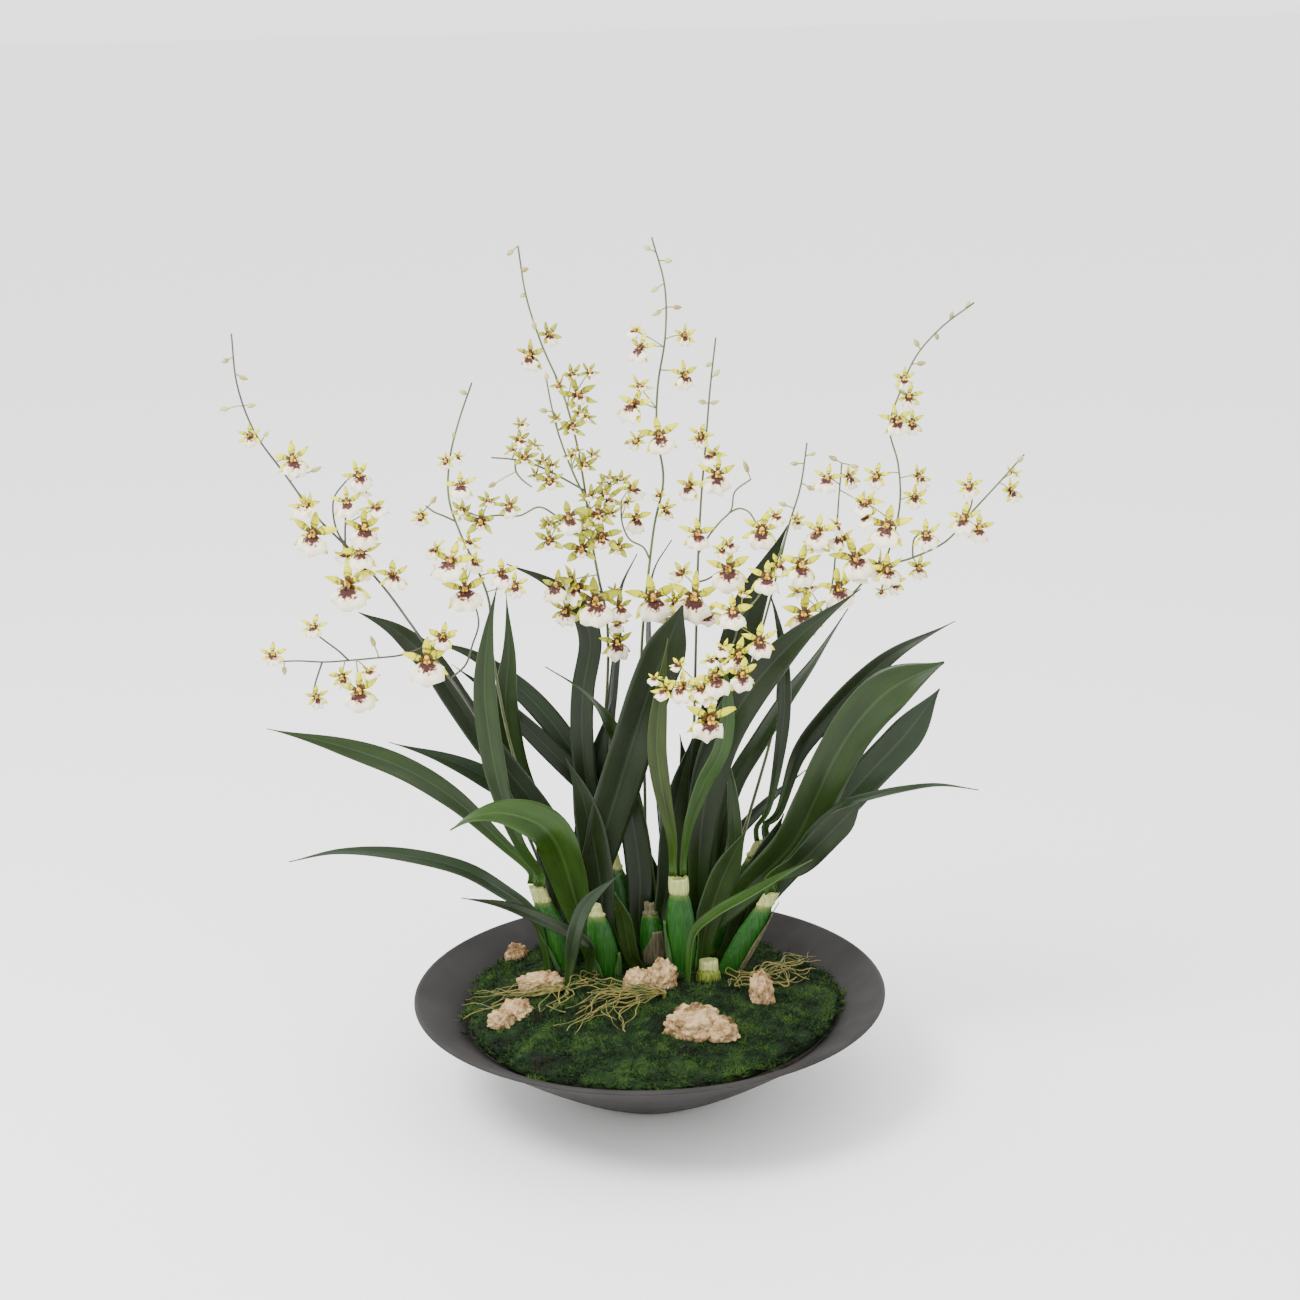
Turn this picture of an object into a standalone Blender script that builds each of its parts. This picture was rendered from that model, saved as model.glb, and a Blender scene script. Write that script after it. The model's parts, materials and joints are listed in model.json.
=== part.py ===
"""Oncidium orchid in flower, planted in a wide shallow ceramic bowl.

Metres, +Z up, -Y to the front. The origin is on the floor, at the middle of the bowl's foot.
Leaves and flower sprays are laid out on a front drawing, and each point also says how far back it lies.
"""

import math
import random

import bmesh
import bpy
from mathutils import Matrix, Vector

MM = 0.001
TOUCH_GAP = 0.3 * MM

# Bowl
RIM_RADIUS = 200.0 * MM
RIM_HEIGHT = 90.0 * MM
WALL = 5.5 * MM
BOWL_STEPS = 36
# Radius and height in mm down the outside, from the rim to the edge of the foot
BOWL_OUTSIDE = ((200, 88), (190, 82.5), (165, 66), (130, 42), (95, 20), (62, 2), (54, 0))
BOWL_FLOOR = 7.0 * MM

# Growing medium and moss
MEDIUM_TOP = 66.0 * MM
MOSS_RADIUS = 160.0 * MM
MOSS_EDGE_HEIGHT = 74.0 * MM
MOSS_CROWN = 22.0 * MM
FOOT_HEIGHT = 80.0 * MM

# The front drawing: a unit is 0.858 mm at the bowl's axis, seen from 24 degrees above level
VIEW_ELEVATION = math.radians(24.0)
VIEW_ROLL = math.radians(-1.4)
VIEW_DISTANCE = 2.5
VIEW_UNIT = 0.858 * MM
VIEW_MIDDLE = (649.4, 987.0)

# Plant
LEAF_THICKNESS = 1.4 * MM
LEAF_BASE_SHARE = 0.40
STEM_RADIUS = 1.7 * MM
STEM_TIP_RADIUS = 0.7 * MM
BRANCH_RADIUS = 0.9 * MM
PEDICEL_RADIUS = 0.6 * MM
BUD_WIDTH = 4.2 * MM
SMALL_BLOOM = 31
ROOT_RADIUS = 1.0 * MM

COLOURS = {
    "bowl": (0.11, 0.105, 0.11),
    "medium": (0.06, 0.04, 0.025),
    "moss": (0.02, 0.06, 0.015),
    "bark": (0.45, 0.30, 0.19),
    "bulb": (0.03, 0.16, 0.04),
    "leaf": (0.04, 0.08, 0.02),
    "root": (0.33, 0.30, 0.10),
    "spray": (0.75, 0.66, 0.28),
}

# Pseudobulbs: foot (x, y in mm), top (across, down, back on the drawing), width and thickness in mm
BULBS = {
    "pseudobulb_left": ((-66, 40), (537, 888, 42), 24, 15),
    "pseudobulb_front_left": ((-33, 20), (594, 905, 18), 24, 14),
    "pseudobulb_rear_centre": ((-10, 64), (609, 851, 68), 25, 15),
    "pseudobulb_old": ((6, 40), (649, 903, 46), 21, 13),
    "pseudobulb_centre": ((29, 21), (678, 878, 24), 25, 15),
    "pseudobulb_right": ((62, 24), (771, 894, 26), 23, 14),
    "pseudobulb_rear_right": ((56, 64), (761, 842, 66), 25, 15),
    "pseudobulb_cut": ((50, 2), (708, 960, 2), 21, 14),
}

# Leaves: what it stands on, or its foot (x, y in mm); width in mm; the way its upper face looks at the
# foot and at the tip; and its midrib from below to the tip (across, down, back on the drawing)
LEAVES = {
    "leaf_left_long": ("pseudobulb_left", (-4, 4), 20, (-0.3, -1, 0.3), (0, -0.8, 0.6),
        ((505, 846, 50), (455, 801, 48), (400, 768, 44), (335, 746, 40), (266, 730, 34))),
    "leaf_left_upright": ("pseudobulb_left", (4, -3), 20, (-0.4, -1, 0), (0.3, -1, 0),
        ((519, 842, 30), (500, 790, 22), (488, 730, 16), (484, 680, 12), (488, 630, 8), (497, 585, 4))),
    "leaf_left_low": ((-87, 38), (0, 0), 15, (-0.5, -0.6, 0.5), (0, -0.35, 1),
        ((535, 917, 36), (500, 890, 34), (460, 869, 32), (400, 856, 28), (340, 853, 22), (290, 863, 16))),
    "leaf_left_short": ((-51, 12), (0, 0), 11, (-0.3, -1, 0.4), (0, -0.6, 1),
        ((590, 947, 6), (565, 931, 6), (530, 915, 2), (500, 905, -6), (462, 899, -12))),
    "leaf_left_middle": ((-72, 98), (0, 0), 20, (-0.4, -1, 0.2), (0, -0.8, 0.6),
        ((556, 868, 94), (525, 806, 90), (485, 778, 88), (440, 758, 86), (388, 743, 82))),
    "leaf_front_folded": ((-47, 42), (0, 0), 36, (-0.4, -1, 0.1), (-0.1, -0.5, 0.9),
        ((577, 905, 35), (566, 868, 26), (555, 842, 12), (535, 824, -2), (500, 815, -12), (472, 820, -18), (451, 832, -22))),
    "leaf_left_inner": ((-48, 110), (0, 0), 22, (-0.3, -1, 0), (0.2, -1, 0),
        ((566, 880, 110), (535, 815, 108), (515, 765, 101), (505, 705, 79), (508, 650, 71), (505, 592, 68))),
    "leaf_upper_left": ((-36, 72), (0, 0), 22, (-0.5, -1, 0.2), (0.4, -1, 0.4),
        ((580, 880, 68), (550, 825, 62), (510, 775, 56), (480, 736, 52), (455, 700, 48), (430, 664, 42), (395, 632, 36), (357, 613, 30))),
    "leaf_shaded_left": ((28, 70), (0, 0), 18, (-0.4, -1, 0.3), (0, -1, 0.5),
        ((664, 895, 74), (640, 850, 84), (612, 810, 92), (575, 775, 99), (520, 722, 104), (485, 690, 102), (450, 664, 98))),
    "leaf_rear_left": ((-14, 92), (0, 0), 20, (-0.4, -1, 0.3), (0, -1, 0.5),
        ((612, 870, 102), (596, 800, 108), (572, 752, 113), (545, 715, 117), (512, 683, 118), (470, 654, 115), (420, 638, 109))),
    "leaf_arched": ((-26, 86), (0, 0), 20, (0, -1, 0), (-0.2, -0.7, 0.8),
        ((603, 880, 84), (589, 800, 78), (582, 740, 76), (583, 690, 76), (590, 640, 78), (575, 603, 80), (545, 580, 81), (505, 563, 80))),
    "leaf_thin_centre": ((12, 58), (0, 0), 14, (-0.5, -0.4, 0.3), (-0.3, -0.25, 1),
        ((652, 880, 60), (641, 820, 60), (622, 752, 56), (603, 715, 50), (578, 689, 42), (545, 668, 32))),
    "leaf_centre_broad": ((-24, 50), (0, 0), 37, (0.3, -1, 0), (0.2, -1, 0.2),
        ((595, 885, 49), (603, 840, 46), (618, 790, 42), (633, 742, 36), (648, 695, 34), (664, 655, 34), (683, 606, 36))),
    "leaf_slim_left": ((10, 94), (0, 0), 13, (0.9, -0.6, 0), (0.8, -0.7, 0),
        ((640, 880, 100), (622, 800, 100), (609, 740, 98), (612, 690, 94), (617, 640, 90), (620, 590, 84), (637, 553, 78))),
    "leaf_slim_centre": ((18, 88), (0, 0), 11, (1, -0.5, 0), (1, -0.4, 0),
        ((664, 880, 98), (658, 800, 106), (654, 720, 110), (648, 640, 110), (652, 575, 106), (672, 538, 102))),
    "leaf_tall_right": ((40, 78), (0, 0), 31, (-0.2, -1, 0), (0.2, -1, 0.1),
        ((694, 880, 74), (700, 810, 70), (709, 750, 68), (722, 700, 68), (736, 650, 70), (752, 600, 74), (770, 562, 78), (790, 523, 82))),
    "leaf_right_broad": ((42, 50), (0, 0), 31, (0.3, -1, 0), (0.1, -1, 0.7),
        ((698, 890, 46), (701, 830, 42), (711, 772, 38), (727, 730, 34), (752, 690, 28), (782, 655, 22), (815, 625, 16), (862, 590, 8))),
    "leaf_rear_right_upright": ("pseudobulb_rear_right", (-4, -3), 11, (0.3, -1, 0), (-0.6, -1, 0),
        ((768, 810, 58), (778, 765, 54), (785, 710, 48), (784, 655, 44), (777, 615, 42), (768, 586, 40))),
    "leaf_right_edge_on": ((58, 88), (0, 0), 18, (-0.2, -1, 0), (0.9, -0.4, 0.5),
        ((716, 870, 92), (723, 820, 96), (736, 780, 98), (757, 745, 98), (785, 700, 96), (815, 660, 92), (850, 608, 86))),
    "leaf_right_slender": ("pseudobulb_rear_right", (4, 3), 17, (0.4, -1, 0.2), (0.1, -0.8, 0.7),
        ((779, 812, 66), (798, 757, 60), (828, 718, 52), (862, 683, 46), (900, 652, 40), (957, 622, 32))),
    "leaf_right_wide": ((26, 38), (0, 0), 38, (0.5, -1, 0.2), (0.2, -0.9, 0.6),
        ((708, 925, 40), (750, 886, 40), (790, 848, 38), (813, 805, 32), (832, 765, 24), (858, 724, 14), (893, 690, 4), (945, 664, -8))),
    "leaf_right_under": ((80, 54), (0, 0), 30, (0.5, -1, 0.3), (0.3, -0.9, 0.7),
        ((754, 912, 52), (792, 862, 54), (835, 812, 54), (872, 772, 50), (907, 735, 46), (941, 690, 40))),
    "leaf_right_low": ("pseudobulb_right", (-2, -3), 24, (0.4, -1, 0.2), (0.3, -0.8, 0.5),
        ((797, 866, 18), (818, 846, 12), (838, 826, 8), (862, 803, 4))),
    "leaf_right_wisp": ("pseudobulb_right", (3, 3), 10, (0.3, -0.6, 0.5), (0, -0.2, 1),
        ((797, 852, 29), (815, 830, 26), (842, 808, 20), (868, 799, 12), (905, 791, 2), (940, 787, -6), (978, 792, -12))),
    "leaf_front_edge": ((34, -6), (0, 0), 13, (-0.5, -0.3, 0.8), (-0.3, -0.35, 1),
        ((693, 936, -4), (715, 914, -5), (745, 897, -7), (778, 879, -9), (812, 861, -12))),
    "leaf_dark_crossing": ((42, 130), (0, 0), 11, (0.3, -0.4, 0.6), (0.4, -0.3, 1),
        ((700, 880, 138), (716, 855, 141), (745, 826, 142), (775, 796, 141), (807, 770, 138))),
    "leaf_centre_left_tall": ("pseudobulb_centre", (-4, -2), 16, (-0.4, -1, 0), (0.4, -1, 0.2),
        ((672, 838, 16), (663, 796, 11), (657, 750, 8), (660, 700, 6), (668, 640, 8))),
    "leaf_centre_right_tall": ("pseudobulb_centre", (4, 2), 16, (0.6, -1, 0), (0.4, -1, 0.2),
        ((688, 826, 20), (703, 786, 15), (722, 748, 10), (728, 700, 8), (722, 655, 10))),
    "leaf_rear_short": ((72, 46), (0, 0), 12, (0.3, -1, 0), (-0.2, -1, 0.2),
        ((730, 900, 50), (735, 845, 52), (732, 790, 52), (724, 742, 52))),
    "leaf_front_small": ((-68, 0), (0, 0), 15, (-0.6, -0.8, 0.2), (-0.4, -0.9, 0.5),
        ((577, 930, -10), (590, 902, -13), (621, 875, -17))),
}

# Flower sprays: foot (x, y in mm), main stem and side branches from below to the tip (across, down, back),
# blooms (across, down, how far in front of the stem in mm, spread in mm) and buds (the same, with a length)
SPRAYS = {
    "spray_far_left": {
        "foot": (-80, 62),
        "stem": ((546, 880, 52), (524, 830, 46), (508, 790, 40), (494, 755, 34), (478, 722, 28), (450, 680, 14),
                 (425, 648, 0), (392, 600, -12), (349, 552, -18), (308, 510, -24), (269, 455, -30), (239, 409, -34),
                 (227, 332, -37)),
        "branches": (((349, 552, -18), (336, 533, -22), (331, 503, -26), (344, 482, -28)),
                     ((343, 545, -19), (344, 515, -24), (343, 500, -26)),
                     ((425, 648, 0), (400, 657, -5), (361, 661, -8), (329, 664, -14), (300, 663, -18), (272, 664, -22)),
                     ((350, 662, -10), (330, 647, -16), (315, 636, -20)),
                     ((322, 664, -15), (316, 682, -18), (313, 696, -20)),
                     ((450, 680, 14), (462, 672, 20), (471, 648, 25), (478, 618, 24), (464, 588, 18)),),
        "blooms": ((247, 436, 8, 22), (290, 460, 10, 30), (312, 535, 12, 38), (356, 476, 4, 26),
                   (345, 503, 10, 26), (362, 529, 12, 32), (360, 554, 12, 32), (347, 586, 14, 40), (392, 577, 12, 28),
                   (272, 657, 4, 24), (313, 629, 4, 24), (316, 699, 4, 22), (342, 678, 8, 24), (359, 692, 12, 34),
                   (426, 662, 14, 40), (464, 590, 12, 38), (450, 562, 20, 38)),
        "buds": ((221, 360, 0, 7), (240, 377, 0, 8), (221, 409, 0, 8), (248, 405, 0, 8), (263, 434, 0, 6),
                 (314, 470, 6, 11), (284, 673, 0, 8), (372, 643, 2, 12)),
    },
    "spray_inner_left": {
        "foot": (-60, 82),
        "stem": ((564, 900, 80), (545, 850, 78), (526, 800, 75), (510, 745, 68), (503, 715, 52), (496, 680, 38),
                 (490, 640, 28), (487, 597, 22), (464, 544, 12), (453, 521, 8), (447, 494, 4), (450, 443, 0), (462, 407, -4), (470, 381, -6)),
        "branches": (((452, 520, 8), (432, 512, 2), (424, 506, 0)),),
        "blooms": ((459, 485, 10, 26), (444, 460, 4, 17), (420, 516, 0, 20), (501, 574, 14, 28), (514, 586, 18, 24)),
        "buds": ((461, 391, 0, 7), (432, 500, 0, 8), (452, 434, 2, 6)),
    },
    "spray_centre_left": {
        "foot": (-36, 106),
        "stem": ((600, 900, 108), (600, 840, 116), (602, 760, 118), (606, 700, 112), (608, 650, 96), (604, 600, 66),
                 (594, 560, 48), (586, 501, 36), (578, 450, 30), (561, 388, 26), (543, 347, 22), (528, 308, 18), (516, 240, 12)),
        "branches": (((586, 501, 36), (574, 475, 24), (560, 440, 16), (550, 402, 10), (545, 375, 8)),
                     ((583, 490, 34), (558, 475, 26), (529, 462, 16), (515, 459, 12), (490, 457, 6)),
                     ((515, 459, 12), (516, 474, 8), (531, 487, 6)),
                     ((590, 540, 44), (556, 516, 28), (541, 506, 20), (525, 517, 14), (508, 514, 8), (470, 520, 2)),),
        "blooms": ((547, 331, 8, 24), (529, 351, 4, 28), (577, 393, 12, 34), (571, 426, 10, 26),
                   (519, 439, 0, 22), (524, 457, 6, 24), (549, 480, 12, 26), (584, 464, 8, 24),
                   (608, 498, 6, 28), (597, 514, 18, 34), (602, 537, 20, 36), (568, 517, 14, 30),
                   (549, 540, 8, 28), (581, 549, 16, 34), (508, 506, 6, 24), (480, 522, 6, 30), (556, 586, 8, 30),
                   (565, 610, 10, 28), (595, 602, 18, 46), (616, 643, 14, 30), (620, 606, 10, 26)),
        "buds": ((508, 247, 0, 7), (523, 264, 0, 7), (521, 291, 0, 6), (533, 322, 4, 9), (545, 374, 0, 7),
                 (542, 409, 0, 8), (491, 485, 0, 8)),
    },
    "spray_centre": {
        "foot": (-8, 112),
        "stem": ((642, 900, 120), (645, 840, 128), (644, 760, 130), (641, 690, 126), (642, 640, 112), (646, 595, 86),
                 (650, 560, 74), (655, 521, 66), (664, 471, 58), (655, 411, 50), (664, 347, 44), (667, 292, 40), (652, 230, 34)),
        "branches": (((650, 560, 74), (640, 542, 60), (624, 534, 52), (621, 500, 48)),),
        "blooms": ((641, 343, 4, 26), (685, 331, 4, 22), (685, 371, 4, 26), (634, 401, 8, 34), (660, 433, 12, 34),
                   (666, 508, 8, 22), (632, 487, -4, 26), (636, 517, 0, 28), (653, 598, 20, 44)),
        "buds": ((647, 241, 0, 7), (669, 254, 0, 7), (655, 284, 0, 8), (678, 302, 2, 8), (657, 308, 4, 10),
                 (628, 440, 0, 8)),
    },
    "spray_centre_right": {
        "foot": (24, 108),
        "stem": ((686, 900, 120), (690, 830, 128), (694, 740, 130), (696, 660, 112), (698, 579, 72), (700, 528, 62),
                 (703, 482, 56), (708, 425, 50), (712, 375, 48), (717, 333, 45)),
        "branches": (((699, 550, 66), (718, 524, 56), (731, 513, 50), (735, 492, 46), (752, 478, 44)),
                     ((731, 513, 50), (745, 507, 42), (757, 522, 38)),
                     ((698, 585, 74), (716, 574, 62), (730, 566, 56)),),
        "blooms": ((702, 433, 8, 24), (718, 472, 10, 34), (690, 484, 6, 26), (698, 533, 12, 30), (694, 596, 22, 44),
                   (729, 568, 10, 38), (763, 529, 8, 34)),
        "buds": ((710, 361, 0, 6), (718, 369, 0, 8), (703, 399, 0, 8), (716, 399, 0, 8), (747, 465, 2, 13)),
    },
    "spray_front_right": {
        "foot": (44, 112),
        "stem": ((702, 900, 122), (716, 830, 130), (730, 760, 130), (746, 690, 122), (760, 640, 112), (774, 590, 96),
                 (789, 530, 62), (798, 498, 50), (805, 475, 44), (809, 441, 40)),
        "branches": (((789, 530, 62), (780, 556, 40), (762, 594, 26), (742, 616, 10), (736, 640, -2), (722, 664, -12),
                      (700, 690, -18)),
                     ((780, 556, 40), (798, 558, 32)),),
        "blooms": ((798, 519, 2, 17), (802, 565, 4, 36), (768, 578, 8, 32), (760, 642, 16, 30), (733, 613, 10, 34),
                   (738, 656, 8, 30), (742, 676, 10, 28), (715, 680, 10, 34), (682, 688, 8, 30), (665, 691, 4, 24),
                   (710, 720, 12, 44)),
        "buds": ((815, 452, 0, 6), (796, 462, 0, 7), (813, 487, 0, 8), (784, 503, 0, 8)),
    },
    "spray_far_right": {
        "foot": (72, 98),
        "stem": ((726, 900, 106), (742, 840, 112), (760, 780, 116), (776, 720, 112), (782, 670, 98), (804, 632, 74), (827, 610, 52),
                 (849, 598, 42), (868, 582, 36), (884, 565, 30), (919, 557, 22), (948, 542, 16), (962, 526, 12),
                 (1000, 485, 4), (1028, 454, 0)),
        "branches": (((884, 565, 30), (893, 545, 24), (902, 508, 18), (901, 465, 12), (892, 430, 8), (902, 393, 6),
                      (929, 340, 0), (979, 299, -6)),
                     ((827, 610, 52), (836, 570, 40), (839, 520, 34), (844, 462, 30)),
                     ((915, 557, 23), (916, 540, 16), (926, 532, 12)),
                     ((960, 528, 12), (972, 512, 8), (976, 492, 6)),),
        "blooms": ((1014, 491, 4, 24), (972, 486, 2, 24), (966, 519, 8, 28), (981, 528, 8, 26), (928, 535, 6, 26),
                   (921, 568, -4, 24), (889, 570, 10, 28), (896, 583, 2, 22), (857, 558, 12, 40), (839, 588, 14, 34),
                   (805, 614, 14, 38), (907, 377, 6, 22), (912, 394, -4, 24), (899, 419, 8, 28), (915, 421, -4, 24),
                   (879, 475, 4, 24), (921, 476, 2, 24), (917, 497, 6, 24), (889, 526, 14, 40), (829, 477, 6, 26),
                   (851, 476, -2, 22), (865, 503, 6, 24), (820, 531, 10, 32)),
        "buds": ((920, 340, 0, 8), (941, 334, 0, 6), (956, 311, 0, 6), (973, 300, 2, 5), (925, 361, 2, 8),
                 (835, 457, 0, 9), (857, 465, 0, 8), (1024, 459, 2, 8)),
    },
}

# Bark chunks: middle (x, y in mm) and the lobes as (x, y, z offset, half sizes) in mm
BARK = {
    "bark_left": ((-92, 4), ((0, 0, 6, 17, 9, 8),)),
    "bark_front_left": ((-112, -38), ((0, 0, 5, 12, 11, 7), (-12, -13, 3, 10, 9, 7))),
    "bark_middle": ((2, -10), ((-12, 1, 5, 11, 9, 9), (9, 2, 8, 11, 10, 12))),
    "bark_front": ((36, -88), ((0, 0, 7, 21, 15, 12), (21, -6, 4, 13, 11, 9))),
    "bark_right": ((94, -30), ((0, 0, 8, 9, 9, 14),)),
    "bark_rear": ((-117, 92), ((0, 0, 5, 9, 9, 8),)),
}

# Root bundles: a crown (x, y in mm) and where each root runs over the moss (x, y in mm)
ROOTS = {
    "roots_left": ((-70, -12), (((-96, -17), (-128, -22), (-156, -26)), ((-92, -14), (-122, -8), (-146, 2)),
                                ((-72, -26), (-84, -42), (-72, -56)), ((-58, -4), (-46, 6), (-36, 0)))),
    "roots_centre": ((12, -30), (((-14, -34), (-42, -38), (-62, -62)), ((-14, -44), (-40, -56), (-70, -88)),
                                 ((-16, -28), (-38, -26), (-52, -22)), ((-20, -54), (-24, -78), (-20, -96)))),
    "roots_right": ((88, 14), (((102, 14), (124, 32), (146, 44)), ((100, 22), (120, 52), (138, 76)),
                               ((80, 0), (72, -16), (88, -12)), ((106, 2), (118, 4), (128, 16)))),
}


def clear_scene():
    for obj in list(bpy.data.objects):
        bpy.data.objects.remove(obj, do_unlink=True)


def named_collection(name):
    collection = bpy.data.collections.new(name)
    bpy.context.scene.collection.children.link(collection)
    return collection


def finish(name, colour, roughness):
    """A material for one kind of piece."""
    material = bpy.data.materials.new(name)
    material.use_nodes = True
    shader = material.node_tree.nodes["Principled BSDF"]
    shader.inputs["Base Color"].default_value = (*COLOURS[colour], 1)
    shader.inputs["Roughness"].default_value = roughness
    shader.inputs["Metallic"].default_value = 0.0
    return material


def object_of(name, bm, collection, material):
    mesh = bpy.data.meshes.new(name)
    bm.to_mesh(mesh)
    bm.free()
    mesh.shade_smooth()
    mesh.materials.append(material)
    obj = bpy.data.objects.new(name, mesh)
    collection.objects.link(obj)
    return obj


def from_view(across, down, back):
    """The point seen at (across, down) on the front drawing, BACK mm behind the bowl's axis."""
    right = across - VIEW_MIDDLE[0]
    low = down - VIEW_MIDDLE[1]
    side = (right * math.cos(VIEW_ROLL) + low * math.sin(VIEW_ROLL)) * VIEW_UNIT
    rise = (right * math.sin(VIEW_ROLL) - low * math.cos(VIEW_ROLL)) * VIEW_UNIT
    sine = math.sin(VIEW_ELEVATION)
    cosine = math.cos(VIEW_ELEVATION)
    y = back * MM
    z = (rise * (VIEW_DISTANCE + y * cosine) - y * VIEW_DISTANCE * sine) / (VIEW_DISTANCE * cosine + rise * sine)
    depth = VIEW_DISTANCE + y * cosine - z * sine
    return Vector((side * depth / VIEW_DISTANCE, y, RIM_HEIGHT + z))


def smooth_path(points, count):
    """COUNT evenly spaced points on a smooth curve through POINTS, with the curve's ends at theirs."""
    ends = [points[0] * 2 - points[1]] + list(points) + [points[-1] * 2 - points[-2]]
    fine = []
    for i in range(1, len(ends) - 2):
        before, start, stop, after = ends[i - 1:i + 3]
        for k in range(16):
            t = k / 16
            fine.append(0.5 * (2 * start + (stop - before) * t
                               + (2 * before - 5 * start + 4 * stop - after) * t ** 2
                               + (3 * start - before - 3 * stop + after) * t ** 3))
    fine.append(points[-1])
    along = [0.0]
    for a, b in zip(fine, fine[1:]):
        along.append(along[-1] + (b - a).length)
    path = []
    place = 0
    for i in range(count):
        target = along[-1] * i / (count - 1)
        while place < len(along) - 2 and along[place + 1] < target:
            place += 1
        share = (target - along[place]) / max(along[place + 1] - along[place], 1e-9)
        path.append(fine[place].lerp(fine[place + 1], min(share, 1.0)))
    return path


def ramp(value, low, high):
    """0 below LOW, 1 above HIGH, and a smooth step between them."""
    t = min(max((value - low) / (high - low), 0.0), 1.0)
    return t * t * (3 - 2 * t)


def turned(name, profile, collection, material):
    """A solid of revolution: PROFILE runs over the top and down the outer side, as (radius, height)."""
    bm = bmesh.new()
    verts = [bm.verts.new((radius, 0, height)) for radius, height in profile]
    for a, b in zip(verts, verts[1:]):
        bm.edges.new((a, b))
    obj = object_of(name, bm, collection, material)
    screw = obj.modifiers.new("Turn", "SCREW")
    screw.steps = BOWL_STEPS
    screw.render_steps = BOWL_STEPS
    screw.use_merge_vertices = True
    screw.merge_threshold = 0.00001
    return obj


def inner_radius(height):
    """The bowl's inner radius at a height, read along its outside less the wall."""
    rows = [(z * MM, r * MM) for r, z in reversed(BOWL_OUTSIDE)]
    for (z0, r0), (z1, r1) in zip(rows, rows[1:]):
        if z0 <= height - WALL * 0.55 <= z1:
            share = (height - WALL * 0.55 - z0) / (z1 - z0)
            return r0 + (r1 - r0) * share - WALL * 0.75
    return rows[-1][1]


def make_bowl(parts):
    outside = [(r * MM, z * MM) for r, z in BOWL_OUTSIDE]
    inside = [(inner_radius(z * MM), z * MM) for z in (20, 46, 64, 80)]
    edge = [(RIM_RADIUS - 4.6 * MM, RIM_HEIGHT - 0.6 * MM), (RIM_RADIUS - 2.4 * MM, RIM_HEIGHT)]
    profile = [(0, BOWL_FLOOR), (48 * MM, BOWL_FLOOR)] + inside + edge + outside + [(0, 0)]
    return turned("bowl", profile, parts, finish("matt_grey_ceramic", "bowl", 0.6))


def make_medium(parts):
    heights = [MEDIUM_TOP, 46 * MM, 20 * MM]
    gap = 1.0 * MM
    profile = [(0, MEDIUM_TOP)] + [(inner_radius(z) - gap, z) for z in heights]
    profile += [(46 * MM, BOWL_FLOOR + TOUCH_GAP), (0, BOWL_FLOOR + TOUCH_GAP)]
    return turned("growing_medium", profile, parts, finish("growing_medium", "medium", 0.9))


def moss_edge(angle):
    """The mat's uneven outline."""
    return MOSS_RADIUS * (1 + 0.022 * math.sin(3 * angle + 0.6) + 0.014 * math.sin(5 * angle + 2.0)
                          + 0.01 * math.sin(8 * angle))


def moss_height(x, y):
    """The top of the moss: a low mound with slow swells."""
    share = min(math.hypot(x, y) / moss_edge(math.atan2(y, x)), 1.0)
    swell = 1.2 * MM * math.sin(x * 48 + 0.5) * math.cos(y * 41 - 0.7)
    return MOSS_EDGE_HEIGHT + MOSS_CROWN * (1 - share ** 2.2) ** 0.8 + swell * (1 - share)


def make_moss(parts, cutters, pockets):
    """The mat, with a plain hole for each foot that stands in it and a pocket for each chunk."""
    rows = (0.30, 0.54, 0.76, 0.92, 1.0)
    bm = bmesh.new()
    bmesh.ops.create_uvsphere(bm, u_segments=32, v_segments=len(rows) + 3, radius=1.0)
    levels = sorted({round(v.co.z, 4) for v in bm.verts}, reverse=True)
    bottom = MEDIUM_TOP + TOUCH_GAP
    for vert in bm.verts:
        level = levels.index(round(vert.co.z, 4))
        angle = math.atan2(vert.co.y, vert.co.x)
        edge = moss_edge(angle)
        if level == 0:
            vert.co = (0, 0, moss_height(0, 0))
        elif level <= len(rows):
            radius = edge * rows[level - 1]
            x, y = radius * math.cos(angle), radius * math.sin(angle)
            vert.co = (x, y, moss_height(x, y))
        elif level <= len(rows) + 2:
            height = bottom + 3 * MM if level == len(rows) + 1 else bottom
            radius = min(edge, inner_radius(height) - 1.0 * MM)
            vert.co = (radius * math.cos(angle), radius * math.sin(angle), height)
        else:
            vert.co = (0, 0, bottom)
    moss = object_of("moss_bed", bm, parts, finish("moss", "moss", 0.95))
    pits = bpy.data.collections.new("moss_pits")
    cutters.children.link(pits)
    for i, (x, y, half_x, half_y, floor, turn, sides) in enumerate(pockets):
        pit = bmesh.new()
        height = 60 * MM
        reach = 1 / math.cos(math.pi / sides)
        bmesh.ops.create_cone(pit, cap_ends=True, segments=sides, radius1=reach, radius2=reach, depth=height)
        place = (Matrix.Translation((x, y, floor + height / 2)) @ Matrix.Rotation(turn, 4, "Z")
                 @ Matrix.Diagonal((half_x, half_y, 1, 1)) @ Matrix.Rotation(math.pi / sides, 4, "Z"))
        bmesh.ops.transform(pit, matrix=place, verts=pit.verts)
        cutter = object_of(f"pit_{i}", pit, pits, moss.data.materials[0])
        cutter.hide_render = True
        cutter.display_type = "WIRE"
    cut = moss.modifiers.new("Holes", "BOOLEAN")
    cut.operation = "DIFFERENCE"
    cut.operand_type = "COLLECTION"
    cut.collection = pits
    cut.solver = "MANIFOLD"
    return moss


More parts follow.
